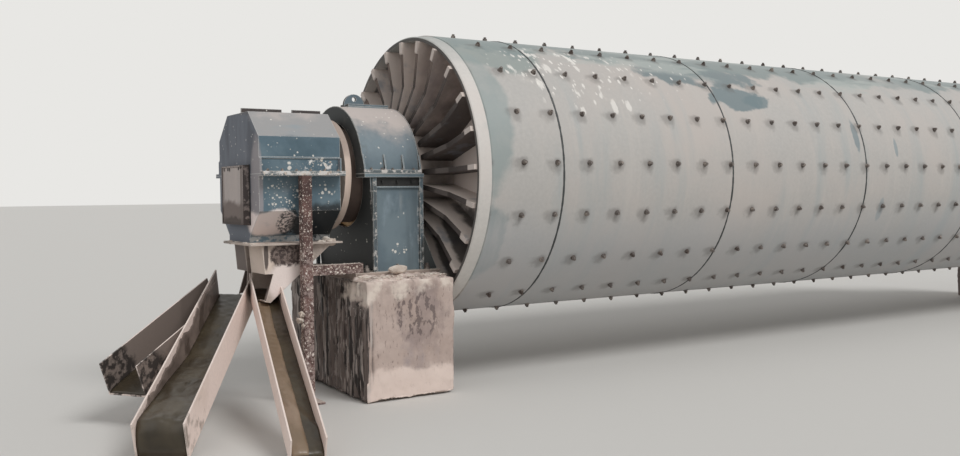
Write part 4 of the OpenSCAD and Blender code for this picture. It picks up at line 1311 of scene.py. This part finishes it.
class Hood:
    """Bolts, crusts and the door's fittings on the discharge hood."""

    DRIPS = (0.08, 0.13, 0.21, 0.62, 0.70, 0.88)
    FLANGE_CLODS = (((0.035, 0.05, -0.003), (0.040, 0.055, 0.011)), ((0.028, 0.17, -0.003), (0.030, 0.075, 0.013)),
                    ((0.030, 0.32, -0.003), (0.032, 0.085, 0.012)), ((0.028, 0.44, -0.003), (0.030, 0.055, 0.015)))
    CORNER_CLODS = (((-0.05, 0.05, -0.004), (0.055, 0.045, 0.030)), ((-0.12, 0.04, -0.004), (0.045, 0.035, 0.022)),
                    ((-0.05, 0.12, 0.002), (0.04, 0.05, 0.035)))

    def build(self) -> None:
        """Builds every piece of the hood's dressing."""
        low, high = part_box("hood_upper")
        side_bolts("hood_split_bolts", Seat.HOOD, (low, high), SIZES.axis_z + 0.0125, inset=0.030, margin=0.035,
                   count=6, radii=(0.011, 0.009), stand=0.016)
        self.door_fittings()
        self.flange_clods()
        for name, seed, density, box_low, box_high in (
                ("hood_front_splashes", 3, 1100.0, (-0.60, -0.3605, 1.345), (-0.34, -0.3595, 1.410)),
                ("hood_flange_splashes", 5, 7000.0, (low.x, low.y, 1.318), (high.x, low.y + 0.06, 1.343))):
            scatter_crust(name, Seat.HOOD, box_low, box_high, density, (0.0015, 0.0065), 0.35, seed)

    def door_fittings(self) -> None:
        """Runs a greasy sealing bead round the door and hangs drips on its top edge."""
        low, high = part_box("hood_door")
        corners = [(high.x - 0.003, y, z) for y, z in ((low.y, low.z), (high.y, low.z), (high.y, high.z),
                                                       (low.y, high.z))]
        lay_bead("hood_door_bead", GREASE, Seat.DOOR, [corners], 0.005, step=0.014, ripple=0.5, closed=True)
        drips = MeshMaker()
        for number, along in enumerate(self.DRIPS):
            y = low.y + along * (high.y - low.y)
            long = 0.009 + 0.011 * abs(math.sin(number * 2.7))
            drips.lump((low.x + 0.002, y, high.z - long), (0.0035, 0.011, long), number * 1.9, 0.4, 2)
        drips.piece("hood_door_drips", GREASE, Seat.DOOR)

    def flange_clods(self) -> None:
        """Adds clods of dried slurry on the hopper flange and its corner."""
        low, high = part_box("hopper_flange")
        clods = MeshMaker()
        clods.lumps([((x + right, low.y + back, high.z + up), half)
                     for x, places in ((high.x, self.CORNER_CLODS), (low.x, self.FLANGE_CLODS))
                     for (right, back, up), half in places], 0.0, 3.1, 0.4)
        clods.piece("hopper_clods", CRUST, Seat.HOPPER)


class Post:
    """Splashes, a foot plate and clods on the rusty post and its beam."""

    CLODS = (((-0.004, 0.018, 0.52), (0.032, 0.030, 0.032)), ((-0.012, 0.026, 0.485), (0.040, 0.034, 0.030)),
             ((0.004, 0.012, 0.458), (0.026, 0.024, 0.022)))

    def build(self) -> None:
        """Builds every piece of the post's dressing."""
        low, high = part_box("hood_post")
        scatter_crust("post_splashes", Seat.RUSTY, (low.x, low.y, 0.03), (high.x, high.y, high.z - 0.02), 4200.0,
                      (0.0015, 0.0050), 0.45, 8)
        scatter_crust("beam_splashes", Seat.RUSTY, *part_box("post_beam"), 5200.0, (0.0015, 0.0060), 0.45, 9)
        clods = MeshMaker()
        clods.lumps([((low.x + right, low.y + back, up), half) for (right, back, up), half in self.CLODS],
                    20.0, 2.3, 0.45)
        clods.piece("post_clods", CRUST, Seat.RUSTY)
        foot = MeshMaker()
        foot.plate((low.x - 0.045, low.y - 0.045, 0.0), (high.x + 0.045, high.y + 0.045, 0.012), 0.002)
        foot.piece("post_foot", RUSTY, Seat.RUSTY, smooth=False)


@dataclass
class PierTop:
    """Caked mortar, a stone and crumbs round the foot of the discharge bearing."""

    cake_height: float = 0.034
    columns: int = 90
    rows: int = 40

    def build(self) -> None:
        """Builds every piece on top of the discharge pier."""
        low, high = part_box("discharge_pier")
        sole_low, sole_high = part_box("discharge_sole_plate")
        self.cake(Vector((low.x + 0.012, low.y + 0.014, high.z)),
                  Vector((high.x - 0.012, sole_low.y + 0.012, sole_high.z)))
        stones = MeshMaker()
        stones.lump((-0.015, -0.52, high.z + 0.056), (0.070, 0.032, 0.031), 4.0, 0.12)
        stones.piece("pier_stone", CRUST, Seat.CONCRETE)
        scatter_crust("pier_crumbs", Seat.CONCRETE, (low.x + 0.03, low.y + 0.03, high.z + 0.006),
                      (high.x - 0.03, sole_low.y, high.z + 0.020), 1500.0, (0.003, 0.014), 0.6, 14)

    def cake(self, low: Vector, high: Vector) -> None:
        """Heaps caked mortar on the pier in front of the sole plate.

        Args:
            low: Front corner of its ground on the pier.
            high: Back corner at the top of the sole plate.
        """
        def spot(column: int, row: int, raised: bool) -> Vector:
            """A point of the cake's top or of its flat underside."""
            u, v = column / self.columns, row / self.rows
            place = Vector((low.x + (high.x - low.x) * u, low.y + (high.y - low.y) * v, low.z - 0.004))
            if raised:
                border = min(1.0, 8 * u, 8 * (1 - u), 3.5 * v)
                heap = 0.30 + 0.55 * v + 0.55 * noise.fractal(place * 9, 0.8, 2.1, 5)
                place.z += 0.0045 + max(0.0, heap) * self.cake_height * math.sqrt(border)
                place.z = min(place.z, high.z - 0.002)
            return place

        mesh_piece(sheet_mesh("pier_cake", self.columns, self.rows, spot), CAKE, Seat.CONCRETE)


class Stage:
    """The camera, the lamps, the sky and the floor."""

    CAMERA_SPOT = (-2.6584, -5.6264, 1.2045)
    CAMERA_TURN = (32.2805, -2.0658, -0.5988)
    FOCAL_PIXELS = 958.97
    IMAGE_WIDTH = 960
    SENSOR = 36.0
    FLOOR_HALF = 150.0

    def build(self) -> None:
        """Builds the whole set."""
        self.camera()
        self.lamps()
        self.sky()
        self.floor()
        bpy.context.scene.view_settings.view_transform = "Standard"

    def camera(self) -> None:
        """Puts the camera at the photograph's place and angle: yaw from Y, pitch up and roll, in degrees."""
        yaw, pitch, roll = (math.radians(angle) for angle in self.CAMERA_TURN)
        data = bpy.data.cameras.new("photo_camera")
        data.sensor_width = self.SENSOR
        data.lens = self.FOCAL_PIXELS / self.IMAGE_WIDTH * self.SENSOR
        data.clip_end = 500
        made = show(bpy.data.objects.new("photo_camera", data))
        made.matrix_world = (Matrix.Translation(self.CAMERA_SPOT) @ Matrix.Rotation(-yaw, 4, "Z")
                             @ Matrix.Rotation(math.pi / 2 + pitch, 4, "X") @ Matrix.Rotation(roll, 4, "Z"))
        bpy.context.scene.camera = made

    def lamps(self) -> None:
        """Adds a soft key from above the near side and a weaker fill."""
        for name, towards, strength, width in (("key", (0.25, -0.75, 0.85), 1.55, 24.0),
                                               ("fill", (-0.9, -0.3, 0.45), 0.35, 60.0)):
            data = bpy.data.lights.new(name, "SUN")
            data.energy = strength
            data.angle = math.radians(width)
            made = show(bpy.data.objects.new(name, data))
            made.rotation_mode = "QUATERNION"
            made.rotation_quaternion = Vector(towards).to_track_quat("Z", "Y")

    def sky(self) -> None:
        """Lights the scene evenly and shows a pale backdrop to the camera."""
        world = bpy.data.worlds.new("studio")
        world.use_nodes = True
        world.node_tree.nodes.clear()
        wiring = Wiring(world.node_tree)
        path = wiring.put("ShaderNodeLightPath").outputs
        seen = wiring.maths("MAXIMUM", wiring.maths("MAXIMUM", path["Is Camera Ray"], path["Is Glossy Ray"]),
                            path["Is Transmission Ray"])
        glow, shown = (wiring.get("ShaderNodeBackground", {"Color": linear(colour), "Strength": strength})
                       for colour, strength in (((244, 244, 244), 0.50), ((232, 231, 228), 1.0)))
        wiring.put("ShaderNodeOutputWorld", {0: wiring.get("ShaderNodeMixShader", {0: seen, 1: glow, 2: shown})})
        bpy.context.scene.world = world

    def floor(self) -> None:
        """Lays a plain pale floor that isn't part of the mill."""
        data = bpy.data.meshes.new("floor")
        far = self.FLOOR_HALF
        data.from_pydata([(x, y, -0.001) for x, y in ((-far, -far), (far, -far), (far, far), (-far, far))], [],
                         [(0, 1, 2, 3)])
        material = bpy.data.materials.new("floor_paint")
        material.use_nodes = True
        surface = material.node_tree.nodes["Principled BSDF"]
        surface.inputs["Base Color"].default_value = linear((206, 204, 200))
        surface.inputs["Roughness"].default_value = 0.9
        data.materials.append(material)
        made = show(bpy.data.objects.new("floor", data))


def main() -> None:
    """Builds the stage, paints the frame and builds every sub-assembly in order."""
    logging.basicConfig(level=logging.INFO, format="%(name)s: %(message)s")
    Stage().build()
    PAINT.paint_nodes()
    Drum().build()
    Bearing(DISCHARGE).build()
    Bearing(FEED, (SIZES.drum_x0 + SIZES.drum_x1) / 2).build()
    Hood().build()
    Post().build()
    PierTop().build()
    Pier("discharge_pier").build()
    Pier("feed_pier", pitch=0.02, run_side=1.0).build()
    front = Trough("front_slurry", (-0.719, -0.134, 0.650), 257.5, 22.5, 1.640, 0.150, 0.010, 0.034, 1.0)
    front.build()
    front.stream("front_stream", -0.98, 0.12, 0.10, 0.007)
    rear = Trough("rear_slurry", (-0.795, 0.096, 0.593), 239.0, 20.3, 1.640, 0.225, 0.020, 0.172, 7.0, 0.45)
    rear.build()
    rear.wall_coat("rear_wall_coat", -1.0, 0.150)
    Trough("far_slurry", (-0.843, 0.100, 0.543), 217.0, 22.0, 0.980, 0.225, 0.010, 0.020, 13.0).build()


if __name__ == "__main__":
    main()
